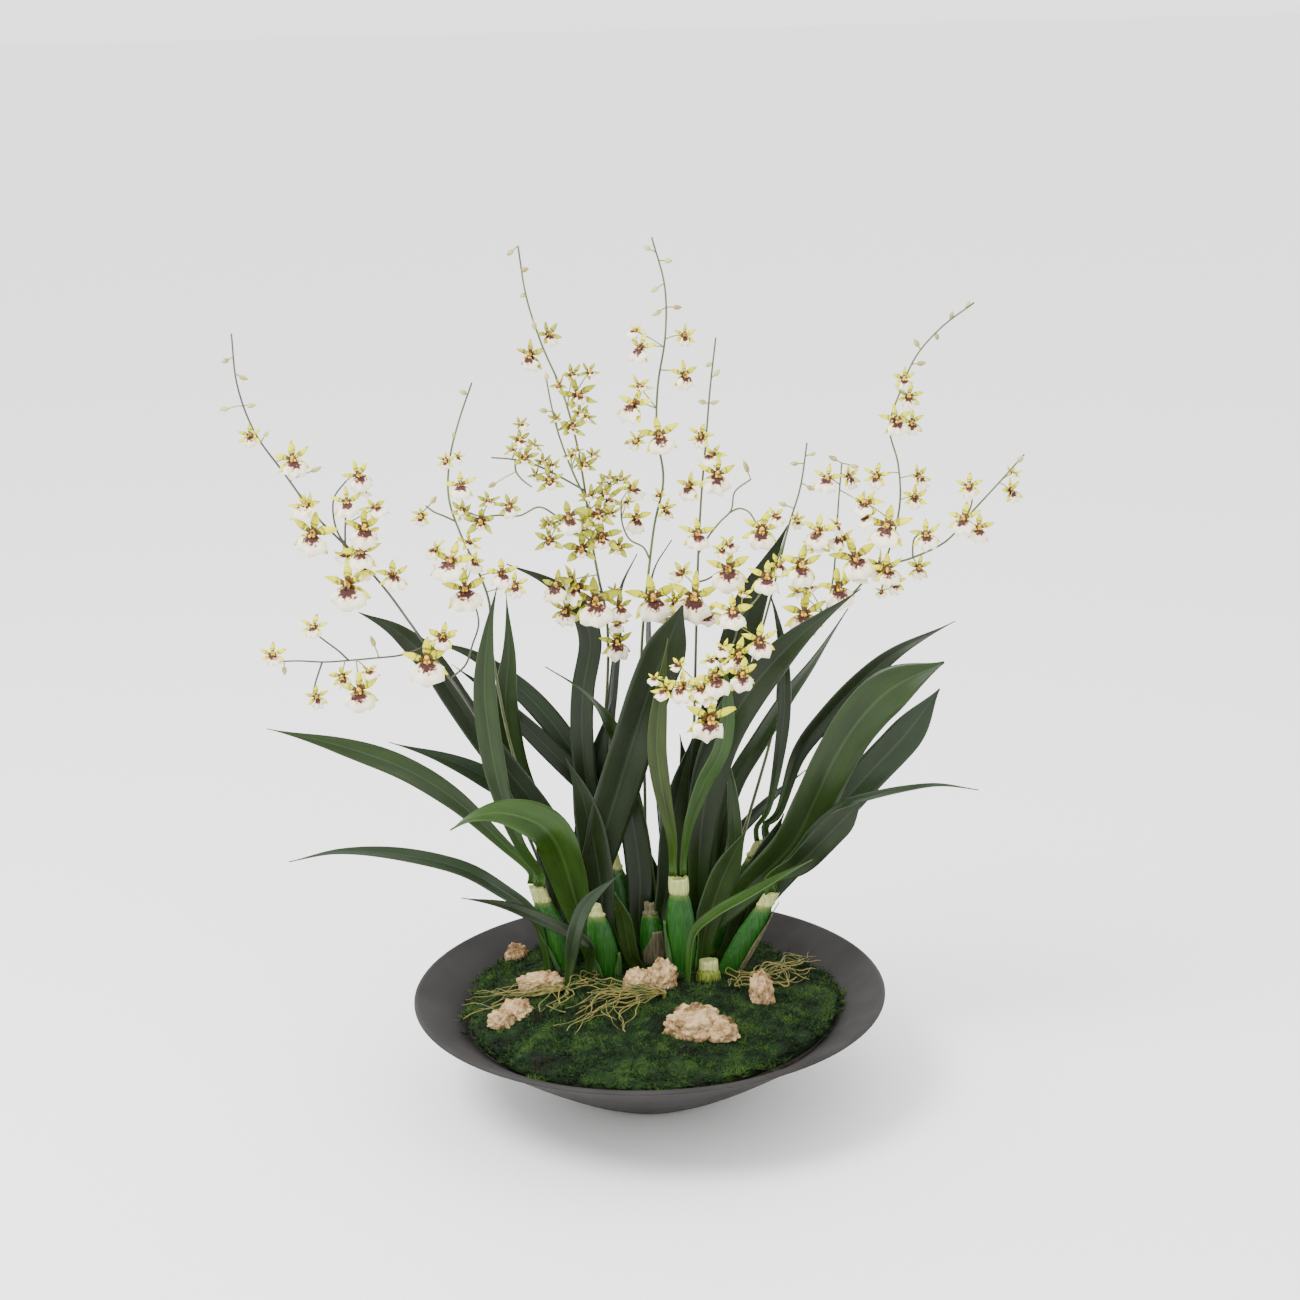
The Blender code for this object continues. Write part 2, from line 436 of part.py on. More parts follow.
def joined(name, pieces, collection, material):
    """One body made of PIECES, by one Boolean union; the pieces are then removed."""
    base = pieces[0]
    if len(pieces) > 1:
        heap = bpy.data.collections.new(f"{name}_pieces")
        bpy.context.scene.collection.children.link(heap)
        for piece in pieces[1:]:
            for home in piece.users_collection:
                home.objects.unlink(piece)
            heap.objects.link(piece)
        union = base.modifiers.new("Join", "BOOLEAN")
        union.operation = "UNION"
        union.operand_type = "COLLECTION"
        union.collection = heap
        union.solver = "MANIFOLD"
    bpy.context.view_layer.update()
    graph = bpy.context.evaluated_depsgraph_get()
    mesh = bpy.data.meshes.new_from_object(base.evaluated_get(graph))
    mesh.name = name
    mesh.materials.clear()
    mesh.materials.append(material)
    for piece in pieces:
        bpy.data.objects.remove(piece, do_unlink=True)
    if len(pieces) > 1:
        bpy.data.collections.remove(heap)
    obj = bpy.data.objects.new(name, mesh)
    collection.objects.link(obj)
    return obj


def tube(name, points, start_radius, end_radius, collection, material, resolution=0):
    """A closed tapering tube along POINTS, as a mesh."""
    curve = bpy.data.curves.new(name, "CURVE")
    curve.dimensions = "3D"
    curve.bevel_depth = 1.0
    curve.bevel_resolution = resolution
    curve.use_fill_caps = True
    spline = curve.splines.new("POLY")
    spline.points.add(len(points) - 1)
    for i, (point, place) in enumerate(zip(spline.points, points)):
        point.co = (*place, 1)
        point.radius = start_radius + (end_radius - start_radius) * i / (len(points) - 1)
    guide = bpy.data.objects.new(name, curve)
    collection.objects.link(guide)
    bpy.context.view_layer.update()
    graph = bpy.context.evaluated_depsgraph_get()
    bm = bmesh.new()
    bm.from_mesh(bpy.data.meshes.new_from_object(guide.evaluated_get(graph)))
    bmesh.ops.remove_doubles(bm, verts=bm.verts, dist=0.00001)
    bmesh.ops.recalc_face_normals(bm, faces=bm.faces)
    obj = object_of(name, bm, collection, material)
    obj.matrix_world = guide.matrix_world
    bpy.data.objects.remove(guide, do_unlink=True)
    return obj


def make_bark(parts):
    material = finish("bark", "bark", 0.9)
    for number, (name, (middle, lobes)) in enumerate(BARK.items()):
        floor = bark_floor(middle)
        pieces = []
        for k, (x, y, z, a, b, c) in enumerate(lobes):
            bm = bmesh.new()
            bmesh.ops.create_icosphere(bm, subdivisions=2, radius=1.0)
            for vert in bm.verts:
                p = vert.co
                knobs = 1 + 0.12 * math.sin(5 * p.x + number) * math.sin(6 * p.y + k) + 0.08 * math.sin(9 * p.z + number)
                place = Vector((p.x * a, p.y * b, p.z * c)) * knobs * MM
                place += Vector(((middle[0] + x) * MM, (middle[1] + y) * MM, floor + z * MM))
                place.z = max(place.z, floor)
                vert.co = place
            pieces.append(object_of(f"{name}_{k}", bm, parts, material))
        joined(name, pieces, parts, material)


def bark_floor(middle):
    """A chunk lies 4 mm deep in the moss."""
    return moss_height(middle[0] * MM, middle[1] * MM) - 4 * MM


def bulb_axis(name):
    """The foot and the top of a pseudobulb."""
    foot, top, _, _ = BULBS[name]
    return Vector((foot[0] * MM, foot[1] * MM, FOOT_HEIGHT)), from_view(*top)


def make_bulbs(parts):
    """Ribbed, flattened bulbs: each row is (share of the height, share of the half width)."""
    rows = ((0.0, 0.5), (0.14, 0.84), (0.34, 1.0), (0.62, 0.94), (0.86, 0.62), (0.88, 0.72), (1.0, 0.66))
    sides = 8
    material = finish("pseudobulb", "bulb", 0.45)
    for name, (_, _, width, thickness) in BULBS.items():
        foot, top = bulb_axis(name)
        bm = bmesh.new()
        bmesh.ops.create_uvsphere(bm, u_segments=sides, v_segments=len(rows) + 1, radius=1.0)
        levels = sorted({round(v.co.z, 4) for v in bm.verts})
        for vert in bm.verts:
            level = levels.index(round(vert.co.z, 4))
            if level in (0, len(levels) - 1):
                share, half = (0.0, 0.0) if level == 0 else (1.0, 0.0)
            else:
                share, half = rows[level - 1]
            angle = math.atan2(vert.co.y, vert.co.x)
            rib = 1 + (0.05 * math.cos(sides / 2 * angle) if 0.1 < share < 0.8 else 0)
            middle = foot.lerp(top, share)
            vert.co = middle + Vector((math.cos(angle) * width, math.sin(angle) * thickness, 0)) * half * rib * 0.5 * MM
        object_of(name, bm, parts, material)


def leaf_path(name):
    """The points of a leaf's midrib, from its foot or from the top of its bulb."""
    seat, aside = LEAVES[name][:2]
    drawn = [from_view(*point) for point in LEAVES[name][5]]
    if isinstance(seat, str):
        foot, top = bulb_axis(seat)
        start = top + Vector((aside[0] * MM, aside[1] * MM, 5 * TOUCH_GAP))
        return [start, start + Vector((0, 0, 13 * MM))] + drawn
    foot = Vector((seat[0] * MM, seat[1] * MM, FOOT_HEIGHT))
    return [foot, foot + Vector((0, 0, 20 * MM))] + drawn


def leaf_width_share(s, short):
    """Narrow at the foot, widest past the middle, pointed at the tip."""
    start = LEAF_BASE_SHARE
    rise = start + (1 - start) * ramp(s, 0.04, 0.5)
    tip = 1 - ramp(s, 0.55, 1.04) ** 1.5
    return max(rise * tip, 0.04 if not short else 0.06)


def make_leaf(name, parts, material):
    """A strap leaf: a flat grid laid along the midrib, folded into a shallow V and given its thickness."""
    seat, _, width, face_low, face_tip, drawn = LEAVES[name]
    points = leaf_path(name)
    length = sum((b - a).length for a, b in zip(points, points[1:]))
    rows = max(6, min(10, round(length / (38 * MM))))
    count = rows * 4 + 1
    path = smooth_path(points, count)
    bm = bmesh.new()
    bmesh.ops.create_grid(bm, x_segments=2, y_segments=rows, size=1.0)
    for vert in bm.verts:
        s = (vert.co.y + 1) / 2
        t = vert.co.x
        i = round(s * (count - 1))
        along = (path[min(i + 2, count - 1)] - path[max(i - 2, 0)]).normalized()
        face = Vector(face_low).lerp(Vector(face_tip), s)
        face = (face - face.dot(along) * along).normalized()
        half = width * MM / 2 * leaf_width_share(s, length < 0.15)
        fold = 0.44 * (1 - ramp(s, 0.0, 0.45)) + 0.16
        vert.co = path[i] + along.cross(face) * t * half + face * abs(t) * half * fold
    bmesh.ops.triangulate(bm, faces=bm.faces)
    leaf = object_of(name, bm, parts, material)
    solid = leaf.modifiers.new("Thickness", "SOLIDIFY")
    solid.thickness = LEAF_THICKNESS
    solid.offset = 0.0
    return leaf


def make_leaves(parts):
    material = finish("leaf", "leaf", 0.45)
    for name in LEAVES:
        make_leaf(name, parts, material)


def make_roots(parts):
    """Each bundle starts from one crown that stands in the moss."""
    material = finish("aerial_root", "root", 0.7)
    for name, (crown, runs) in ROOTS.items():
        x, y = crown[0] * MM, crown[1] * MM
        heart = Vector((x, y, moss_height(x, y) + 3.0 * MM))
        pieces = [tube(f"{name}_crown", (Vector((x, y, FOOT_HEIGHT)), heart + Vector((0, 0, 1.5 * MM))),
                       2.2 * MM, 1.6 * MM, parts, material, 1)]
        for k, run in enumerate(runs):
            route = [heart]
            for px, py in run:
                ground = moss_height(px * MM, py * MM)
                route.append(Vector((px * MM, py * MM, ground + 2.4 * MM)))
            pieces.append(tube(f"{name}_{k}", smooth_path(route, 6), 1.2 * ROOT_RADIUS, 0.7 * ROOT_RADIUS, parts, material))
        joined(name, pieces, parts, material)


def nearest(points, place):
    return min(points, key=lambda p: (p - place).length)


def bloom_piece(name, centre, facing, spread, collection, material):
    """A bloom: five narrow tepals round a small heart, and a broad two-lobed lip that stands forward.

    Ring points run round the outline, as (angle in degrees from straight up, share of the half spread,
    how far forward in shares of it).
    """
    outline = []
    for angle in (-128, -68, 0, 68, 128):
        reach = 0.92 if angle == 0 else 1.0
        tips = ((angle, reach, -0.10),) if spread < SMALL_BLOOM else ((angle - 9, reach, -0.10), (angle + 9, reach, -0.10))
        outline += [*tips, (angle + 32, 0.30, 0.0)]
    outline = outline[:-1] + [(152, 0.42, 0.16), (164, 0.95, 0.30), (196, 0.95, 0.30), (208, 0.42, 0.16)]
    bm = bmesh.new()
    bmesh.ops.create_uvsphere(bm, u_segments=len(outline), v_segments=2, radius=1.0)
    ring = sorted((v for v in bm.verts if abs(v.co.z) < 0.5), key=lambda v: math.atan2(v.co.y, v.co.x))
    poles = [v for v in bm.verts if abs(v.co.z) > 0.5]
    half = spread * MM / 2
    for vert, (angle, reach, forward) in zip(ring, outline):
        turn = math.radians(angle)
        vert.co = Vector((-math.sin(turn) * reach, math.cos(turn) * reach, forward)) * half
    for vert in poles:
        vert.co = (0, 0, 2.0 * MM if vert.co.z > 0 else -1.4 * MM)
    bmesh.ops.transform(bm, matrix=bloom_frame(centre, facing), verts=bm.verts)
    return object_of(name, bm, collection, material)


def bloom_frame(centre, facing):
    """Local +Z is the way the bloom looks and local +Y its upper side."""
    z = facing.normalized()
    y = (Vector((0, 0, 1)) - z * z.z).normalized()
    x = y.cross(z)
    frame = Matrix((x, y, z)).transposed().to_4x4()
    frame.translation = centre
    return frame


def bud_piece(name, centre, along, length, collection, material):
    bm = bmesh.new()
    bmesh.ops.create_uvsphere(bm, u_segments=5, v_segments=2, radius=1.0)
    width = min(BUD_WIDTH, length * MM * 0.6) / 2
    turn = Vector((0, 0, 1)).rotation_difference(along).to_matrix().to_4x4()
    place = Matrix.Translation(centre) @ turn @ Matrix.Diagonal((width, width, length * MM / 2, 1))
    bmesh.ops.transform(bm, matrix=place, verts=bm.verts)
    return object_of(name, bm, collection, material)


def stalk_piece(name, start, stop, collection, material):
    """A three-sided flower stalk from the stem to a bloom or a bud."""
    bm = bmesh.new()
    line = stop - start
    bmesh.ops.create_cone(bm, cap_ends=True, segments=3, radius1=PEDICEL_RADIUS * 1.2, radius2=PEDICEL_RADIUS, depth=line.length)
    turn = Vector((0, 0, 1)).rotation_difference(line.normalized()).to_matrix().to_4x4()
    bmesh.ops.transform(bm, matrix=Matrix.Translation((start + stop) / 2) @ turn, verts=bm.verts)
    return object_of(name, bm, collection, material)


def spray_lines(plan):
    """The main stem and the side branches as lists of points."""
    foot = Vector((plan["foot"][0] * MM, plan["foot"][1] * MM, FOOT_HEIGHT))
    stem = [foot, foot + Vector((0, 0, 16 * MM))] + [from_view(*p) for p in plan["stem"]]
    branches = [[from_view(*p) for p in branch] for branch in plan["branches"]]
    return smooth_path(stem, len(stem) + 2), [smooth_path(b, len(b) + 1) for b in branches]


def make_spray(name, number, plan, parts, material):
    """Stem, branches, stalks, buds and blooms of one spray, joined in one body."""
    chance = random.Random(number)
    stem, branches = spray_lines(plan)
    pieces = [tube(f"{name}_stem", stem, STEM_RADIUS, STEM_TIP_RADIUS, parts, material)]
    reach = []
    for a, b in zip(stem[4:], stem[5:]):
        reach += [a.lerp(b, k / 4) for k in range(4)]
    reach.append(stem[-1])
    for k, branch in enumerate(branches):
        branch[0] = nearest(reach, branch[0])
        pieces.append(tube(f"{name}_branch_{k}", branch, BRANCH_RADIUS, STEM_TIP_RADIUS, parts, material))
    for branch in branches:
        for a, b in zip(branch, branch[1:]):
            reach += [a.lerp(b, k / 4) for k in range(4)]
        reach.append(branch[-1])
    viewer = Vector((0, -math.cos(VIEW_ELEVATION), math.sin(VIEW_ELEVATION)))
    for k, (across, down, forward, spread) in enumerate(plan["blooms"]):
        rough = nearest(reach, from_view(across, down, plan["stem"][-1][2]))
        root = nearest(reach, from_view(across, down, rough.y / MM))
        centre = from_view(across, down, root.y / MM - forward)
        aside = centre - root
        facing = viewer + aside.normalized() * 0.55 + Vector((chance.uniform(-0.45, 0.45), 0, chance.uniform(-0.35, 0.35)))
        pieces.append(bloom_piece(f"{name}_bloom_{k}", centre, facing, spread, parts, material))
        frame = bloom_frame(centre, facing)
        behind = frame @ Vector((0.4 * MM, 3.0 * MM, 0.2 * MM))
        pieces.append(stalk_piece(f"{name}_stalk_{k}", root, behind, parts, material))
    for k, (across, down, forward, length) in enumerate(plan["buds"]):
        rough = nearest(reach, from_view(across, down, plan["stem"][-1][2]))
        root = nearest(reach, from_view(across, down, rough.y / MM))
        centre = from_view(across, down, root.y / MM - forward)
        along = (centre - root).normalized()
        pieces.append(bud_piece(f"{name}_bud_{k}", centre, along, length, parts, material))
        pieces.append(stalk_piece(f"{name}_bud_stalk_{k}", root, centre - along * length * 0.2 * MM, parts, material))
    return joined(name, pieces, parts, material)


def make_sprays(parts):
    material = finish("flower_spray", "spray", 0.5)
    for number, (name, plan) in enumerate(SPRAYS.items()):
        make_spray(name, number, plan, parts, material)


def foot_pockets():
    """Where the moss is cut: (x, y, half sizes, floor, turn, sides) for each foot, crown and chunk."""
    pockets = []
    floor = FOOT_HEIGHT - 2 * TOUCH_GAP
    for foot, _, width, thickness in BULBS.values():
        pockets.append((foot[0] * MM, foot[1] * MM, (width / 2 + 3.5) * MM, (thickness / 2 + 3.0) * MM, floor, 0, 6))
    for seat, _, width, face, _, _ in LEAVES.values():
        if not isinstance(seat, str):
            half = width / 2 * LEAF_BASE_SHARE * MM
            turn = math.atan2(face[1], face[0]) + math.pi / 2
            ahead = Vector((face[0], face[1], 0)).normalized() * 0.3 * half
            pockets.append((seat[0] * MM + ahead.x, seat[1] * MM + ahead.y, half + 4.8 * MM,
                            0.4 * half + 3.0 * MM, floor, turn, 4))
    for plan in SPRAYS.values():
        pockets.append((plan["foot"][0] * MM, plan["foot"][1] * MM, 3.8 * MM, 3.8 * MM, floor - 0.8 * MM, 0, 4))
    for crown, _ in ROOTS.values():
        pockets.append((crown[0] * MM, crown[1] * MM, 3.4 * MM, 3.4 * MM, floor, 0, 4))
    for middle, lobes in BARK.values():
        for x, y, _, a, b, _ in lobes:
            pockets.append(((middle[0] + x) * MM, (middle[1] + y) * MM, 1.2 * a * MM, 1.2 * b * MM,
                            bark_floor(middle) - TOUCH_GAP, 0, 6))
    return pockets


def main():
    clear_scene()
    parts = named_collection("oncidium_orchid")
    cutters = named_collection("cutters")
    make_bowl(parts)
    make_medium(parts)
    make_moss(parts, cutters, foot_pockets())
    make_bark(parts)
    make_bulbs(parts)
    make_leaves(parts)
    make_roots(parts)
    make_sprays(parts)


main()
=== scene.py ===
"""The looks of an oncidium orchid in flower, planted in a wide shallow stoneware bowl.

Metres, +Z up, -Y to the front. The origin is on the floor, at the middle of the bowl's foot.
Leaves and flower sprays are laid out on a front drawing, and each point also says how far back it lies.
"""

import json
import math
import random

import bmesh
import bpy
from bpy.props import FloatProperty, FloatVectorProperty, IntProperty, PointerProperty
from mathutils import Matrix, Vector, noise

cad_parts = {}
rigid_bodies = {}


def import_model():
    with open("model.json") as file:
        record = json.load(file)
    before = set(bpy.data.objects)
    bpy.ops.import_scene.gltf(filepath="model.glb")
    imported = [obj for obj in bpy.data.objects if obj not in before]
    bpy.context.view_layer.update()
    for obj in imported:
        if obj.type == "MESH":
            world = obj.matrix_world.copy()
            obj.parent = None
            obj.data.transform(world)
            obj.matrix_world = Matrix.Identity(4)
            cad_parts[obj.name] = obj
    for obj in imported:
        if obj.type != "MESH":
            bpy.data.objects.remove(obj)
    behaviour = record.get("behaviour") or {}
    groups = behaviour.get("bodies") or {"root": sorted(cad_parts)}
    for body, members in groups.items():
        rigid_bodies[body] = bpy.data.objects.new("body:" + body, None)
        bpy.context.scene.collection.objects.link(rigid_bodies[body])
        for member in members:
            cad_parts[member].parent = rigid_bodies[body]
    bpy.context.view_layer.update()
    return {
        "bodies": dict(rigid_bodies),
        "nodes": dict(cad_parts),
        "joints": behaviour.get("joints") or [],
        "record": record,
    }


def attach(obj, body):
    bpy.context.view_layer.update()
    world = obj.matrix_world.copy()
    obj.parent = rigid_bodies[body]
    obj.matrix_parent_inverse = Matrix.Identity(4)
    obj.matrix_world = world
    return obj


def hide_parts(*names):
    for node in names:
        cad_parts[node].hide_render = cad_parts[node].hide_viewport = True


bl_info = {
    "name": "Oncidium Orchid Bowl",
    "version": (1, 0, 0),
    "blender": (4, 5, 0),
    "location": "3D View > Sidebar > Orchid",
    "description": "Dresses the solids of a potted oncidium orchid with its visible pieces",
    "category": "Object",
}

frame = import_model()

MM = 0.001
TOUCH_GAP = 0.3 * MM

# Bowl
RIM_RADIUS = 200.0 * MM
RIM_HEIGHT = 90.0 * MM
WALL = 5.5 * MM
# Radius and height in mm down the outside, from the rim to the edge of the foot
BOWL_OUTSIDE = ((200, 88), (190, 82.5), (165, 66), (130, 42), (95, 20), (62, 2), (54, 0))
BOWL_FLOOR = 7.0 * MM

# Growing medium and moss
MEDIUM_TOP = 66.0 * MM
MOSS_RADIUS = 160.0 * MM
MOSS_EDGE_HEIGHT = 74.0 * MM
MOSS_CROWN = 22.0 * MM
FOOT_HEIGHT = 80.0 * MM

# The front drawing: a unit is 0.858 mm at the bowl's axis, seen from 24 degrees above level
VIEW_ELEVATION = math.radians(24.0)
VIEW_ROLL = math.radians(-1.4)
VIEW_DISTANCE = 2.5
VIEW_UNIT = 0.858 * MM
VIEW_MIDDLE = (649.4, 987.0)

# Plant
LEAF_THICKNESS = 1.4 * MM
LEAF_BASE_SHARE = 0.40
STEM_RADIUS = 1.7 * MM
STEM_TIP_RADIUS = 0.7 * MM
BRANCH_RADIUS = 0.9 * MM
PEDICEL_RADIUS = 0.6 * MM
BUD_WIDTH = 4.2 * MM
SMALL_BLOOM = 31
ROOT_RADIUS = 1.0 * MM

# Pseudobulbs: foot (x, y in mm), top (across, down, back on the drawing), width and thickness in mm
BULBS = {
    "pseudobulb_left": ((-66, 40), (537, 888, 42), 24, 15),
    "pseudobulb_front_left": ((-33, 20), (594, 905, 18), 24, 14),
    "pseudobulb_rear_centre": ((-10, 64), (609, 851, 68), 25, 15),
    "pseudobulb_old": ((6, 40), (649, 903, 46), 21, 13),
    "pseudobulb_centre": ((29, 21), (678, 878, 24), 25, 15),
    "pseudobulb_right": ((62, 24), (771, 894, 26), 23, 14),
    "pseudobulb_rear_right": ((56, 64), (761, 842, 66), 25, 15),
    "pseudobulb_cut": ((50, 2), (708, 960, 2), 21, 14),
}

# Leaves: what it stands on, or its foot (x, y in mm); width in mm; the way its upper face looks at the
# foot and at the tip; and its midrib from below to the tip (across, down, back on the drawing)
LEAVES = {
    "leaf_left_long": ("pseudobulb_left", (-4, 4), 20, (-0.3, -1, 0.3), (0, -0.8, 0.6),
        ((505, 846, 50), (455, 801, 48), (400, 768, 44), (335, 746, 40), (266, 730, 34))),
    "leaf_left_upright": ("pseudobulb_left", (4, -3), 20, (-0.4, -1, 0), (0.3, -1, 0),
        ((519, 842, 30), (500, 790, 22), (488, 730, 16), (484, 680, 12), (488, 630, 8), (497, 585, 4))),
    "leaf_left_low": ((-87, 38), (0, 0), 15, (-0.5, -0.6, 0.5), (0, -0.35, 1),
        ((535, 917, 36), (500, 890, 34), (460, 869, 32), (400, 856, 28), (340, 853, 22), (290, 863, 16))),
    "leaf_left_short": ((-51, 12), (0, 0), 11, (-0.3, -1, 0.4), (0, -0.6, 1),
        ((590, 947, 6), (565, 931, 6), (530, 915, 2), (500, 905, -6), (462, 899, -12))),
    "leaf_left_middle": ((-72, 98), (0, 0), 20, (-0.4, -1, 0.2), (0, -0.8, 0.6),
        ((556, 868, 94), (525, 806, 90), (485, 778, 88), (440, 758, 86), (388, 743, 82))),
    "leaf_front_folded": ((-47, 42), (0, 0), 36, (-0.4, -1, 0.1), (-0.1, -0.5, 0.9),
        ((577, 905, 35), (566, 868, 26), (555, 842, 12), (535, 824, -2), (500, 815, -12), (472, 820, -18), (451, 832, -22))),
    "leaf_left_inner": ((-48, 110), (0, 0), 22, (-0.3, -1, 0), (0.2, -1, 0),
        ((566, 880, 110), (535, 815, 108), (515, 765, 101), (505, 705, 79), (508, 650, 71), (505, 592, 68))),
    "leaf_upper_left": ((-36, 72), (0, 0), 22, (-0.5, -1, 0.2), (0.4, -1, 0.4),
        ((580, 880, 68), (550, 825, 62), (510, 775, 56), (480, 736, 52), (455, 700, 48), (430, 664, 42), (395, 632, 36), (357, 613, 30))),
    "leaf_shaded_left": ((28, 70), (0, 0), 18, (-0.4, -1, 0.3), (0, -1, 0.5),
        ((664, 895, 74), (640, 850, 84), (612, 810, 92), (575, 775, 99), (520, 722, 104), (485, 690, 102), (450, 664, 98))),
    "leaf_rear_left": ((-14, 92), (0, 0), 20, (-0.4, -1, 0.3), (0, -1, 0.5),
        ((612, 870, 102), (596, 800, 108), (572, 752, 113), (545, 715, 117), (512, 683, 118), (470, 654, 115), (420, 638, 109))),
    "leaf_arched": ((-26, 86), (0, 0), 20, (0, -1, 0), (-0.2, -0.7, 0.8),
        ((603, 880, 84), (589, 800, 78), (582, 740, 76), (583, 690, 76), (590, 640, 78), (575, 603, 80), (545, 580, 81), (505, 563, 80))),
    "leaf_thin_centre": ((12, 58), (0, 0), 14, (-0.5, -0.4, 0.3), (-0.3, -0.25, 1),
        ((652, 880, 60), (641, 820, 60), (622, 752, 56), (603, 715, 50), (578, 689, 42), (545, 668, 32))),
    "leaf_centre_broad": ((-24, 50), (0, 0), 37, (0.3, -1, 0), (0.2, -1, 0.2),
        ((595, 885, 49), (603, 840, 46), (618, 790, 42), (633, 742, 36), (648, 695, 34), (664, 655, 34), (683, 606, 36))),
    "leaf_slim_left": ((10, 94), (0, 0), 13, (0.9, -0.6, 0), (0.8, -0.7, 0),
        ((640, 880, 100), (622, 800, 100), (609, 740, 98), (612, 690, 94), (617, 640, 90), (620, 590, 84), (637, 553, 78))),
    "leaf_slim_centre": ((18, 88), (0, 0), 11, (1, -0.5, 0), (1, -0.4, 0),
        ((664, 880, 98), (658, 800, 106), (654, 720, 110), (648, 640, 110), (652, 575, 106), (672, 538, 102))),
    "leaf_tall_right": ((40, 78), (0, 0), 31, (-0.2, -1, 0), (0.2, -1, 0.1),
        ((694, 880, 74), (700, 810, 70), (709, 750, 68), (722, 700, 68), (736, 650, 70), (752, 600, 74), (770, 562, 78), (790, 523, 82))),
    "leaf_right_broad": ((42, 50), (0, 0), 31, (0.3, -1, 0), (0.1, -1, 0.7),
        ((698, 890, 46), (701, 830, 42), (711, 772, 38), (727, 730, 34), (752, 690, 28), (782, 655, 22), (815, 625, 16), (862, 590, 8))),
    "leaf_rear_right_upright": ("pseudobulb_rear_right", (-4, -3), 11, (0.3, -1, 0), (-0.6, -1, 0),
        ((768, 810, 58), (778, 765, 54), (785, 710, 48), (784, 655, 44), (777, 615, 42), (768, 586, 40))),
    "leaf_right_edge_on": ((58, 88), (0, 0), 18, (-0.2, -1, 0), (0.9, -0.4, 0.5),
        ((716, 870, 92), (723, 820, 96), (736, 780, 98), (757, 745, 98), (785, 700, 96), (815, 660, 92), (850, 608, 86))),
    "leaf_right_slender": ("pseudobulb_rear_right", (4, 3), 17, (0.4, -1, 0.2), (0.1, -0.8, 0.7),
        ((779, 812, 66), (798, 757, 60), (828, 718, 52), (862, 683, 46), (900, 652, 40), (957, 622, 32))),
    "leaf_right_wide": ((26, 38), (0, 0), 38, (0.5, -1, 0.2), (0.2, -0.9, 0.6),
        ((708, 925, 40), (750, 886, 40), (790, 848, 38), (813, 805, 32), (832, 765, 24), (858, 724, 14), (893, 690, 4), (945, 664, -8))),
    "leaf_right_under": ((80, 54), (0, 0), 30, (0.5, -1, 0.3), (0.3, -0.9, 0.7),
        ((754, 912, 52), (792, 862, 54), (835, 812, 54), (872, 772, 50), (907, 735, 46), (941, 690, 40))),
    "leaf_right_low": ("pseudobulb_right", (-2, -3), 24, (0.4, -1, 0.2), (0.3, -0.8, 0.5),
        ((797, 866, 18), (818, 846, 12), (838, 826, 8), (862, 803, 4))),
    "leaf_right_wisp": ("pseudobulb_right", (3, 3), 10, (0.3, -0.6, 0.5), (0, -0.2, 1),
        ((797, 852, 29), (815, 830, 26), (842, 808, 20), (868, 799, 12), (905, 791, 2), (940, 787, -6), (978, 792, -12))),
    "leaf_front_edge": ((34, -6), (0, 0), 13, (-0.5, -0.3, 0.8), (-0.3, -0.35, 1),
        ((693, 936, -4), (715, 914, -5), (745, 897, -7), (778, 879, -9), (812, 861, -12))),
    "leaf_dark_crossing": ((42, 130), (0, 0), 11, (0.3, -0.4, 0.6), (0.4, -0.3, 1),
        ((700, 880, 138), (716, 855, 141), (745, 826, 142), (775, 796, 141), (807, 770, 138))),
    "leaf_centre_left_tall": ("pseudobulb_centre", (-4, -2), 16, (-0.4, -1, 0), (0.4, -1, 0.2),
        ((672, 838, 16), (663, 796, 11), (657, 750, 8), (660, 700, 6), (668, 640, 8))),
    "leaf_centre_right_tall": ("pseudobulb_centre", (4, 2), 16, (0.6, -1, 0), (0.4, -1, 0.2),
        ((688, 826, 20), (703, 786, 15), (722, 748, 10), (728, 700, 8), (722, 655, 10))),
    "leaf_rear_short": ((72, 46), (0, 0), 12, (0.3, -1, 0), (-0.2, -1, 0.2),
        ((730, 900, 50), (735, 845, 52), (732, 790, 52), (724, 742, 52))),
    "leaf_front_small": ((-68, 0), (0, 0), 15, (-0.6, -0.8, 0.2), (-0.4, -0.9, 0.5),
        ((577, 930, -10), (590, 902, -13), (621, 875, -17))),
}

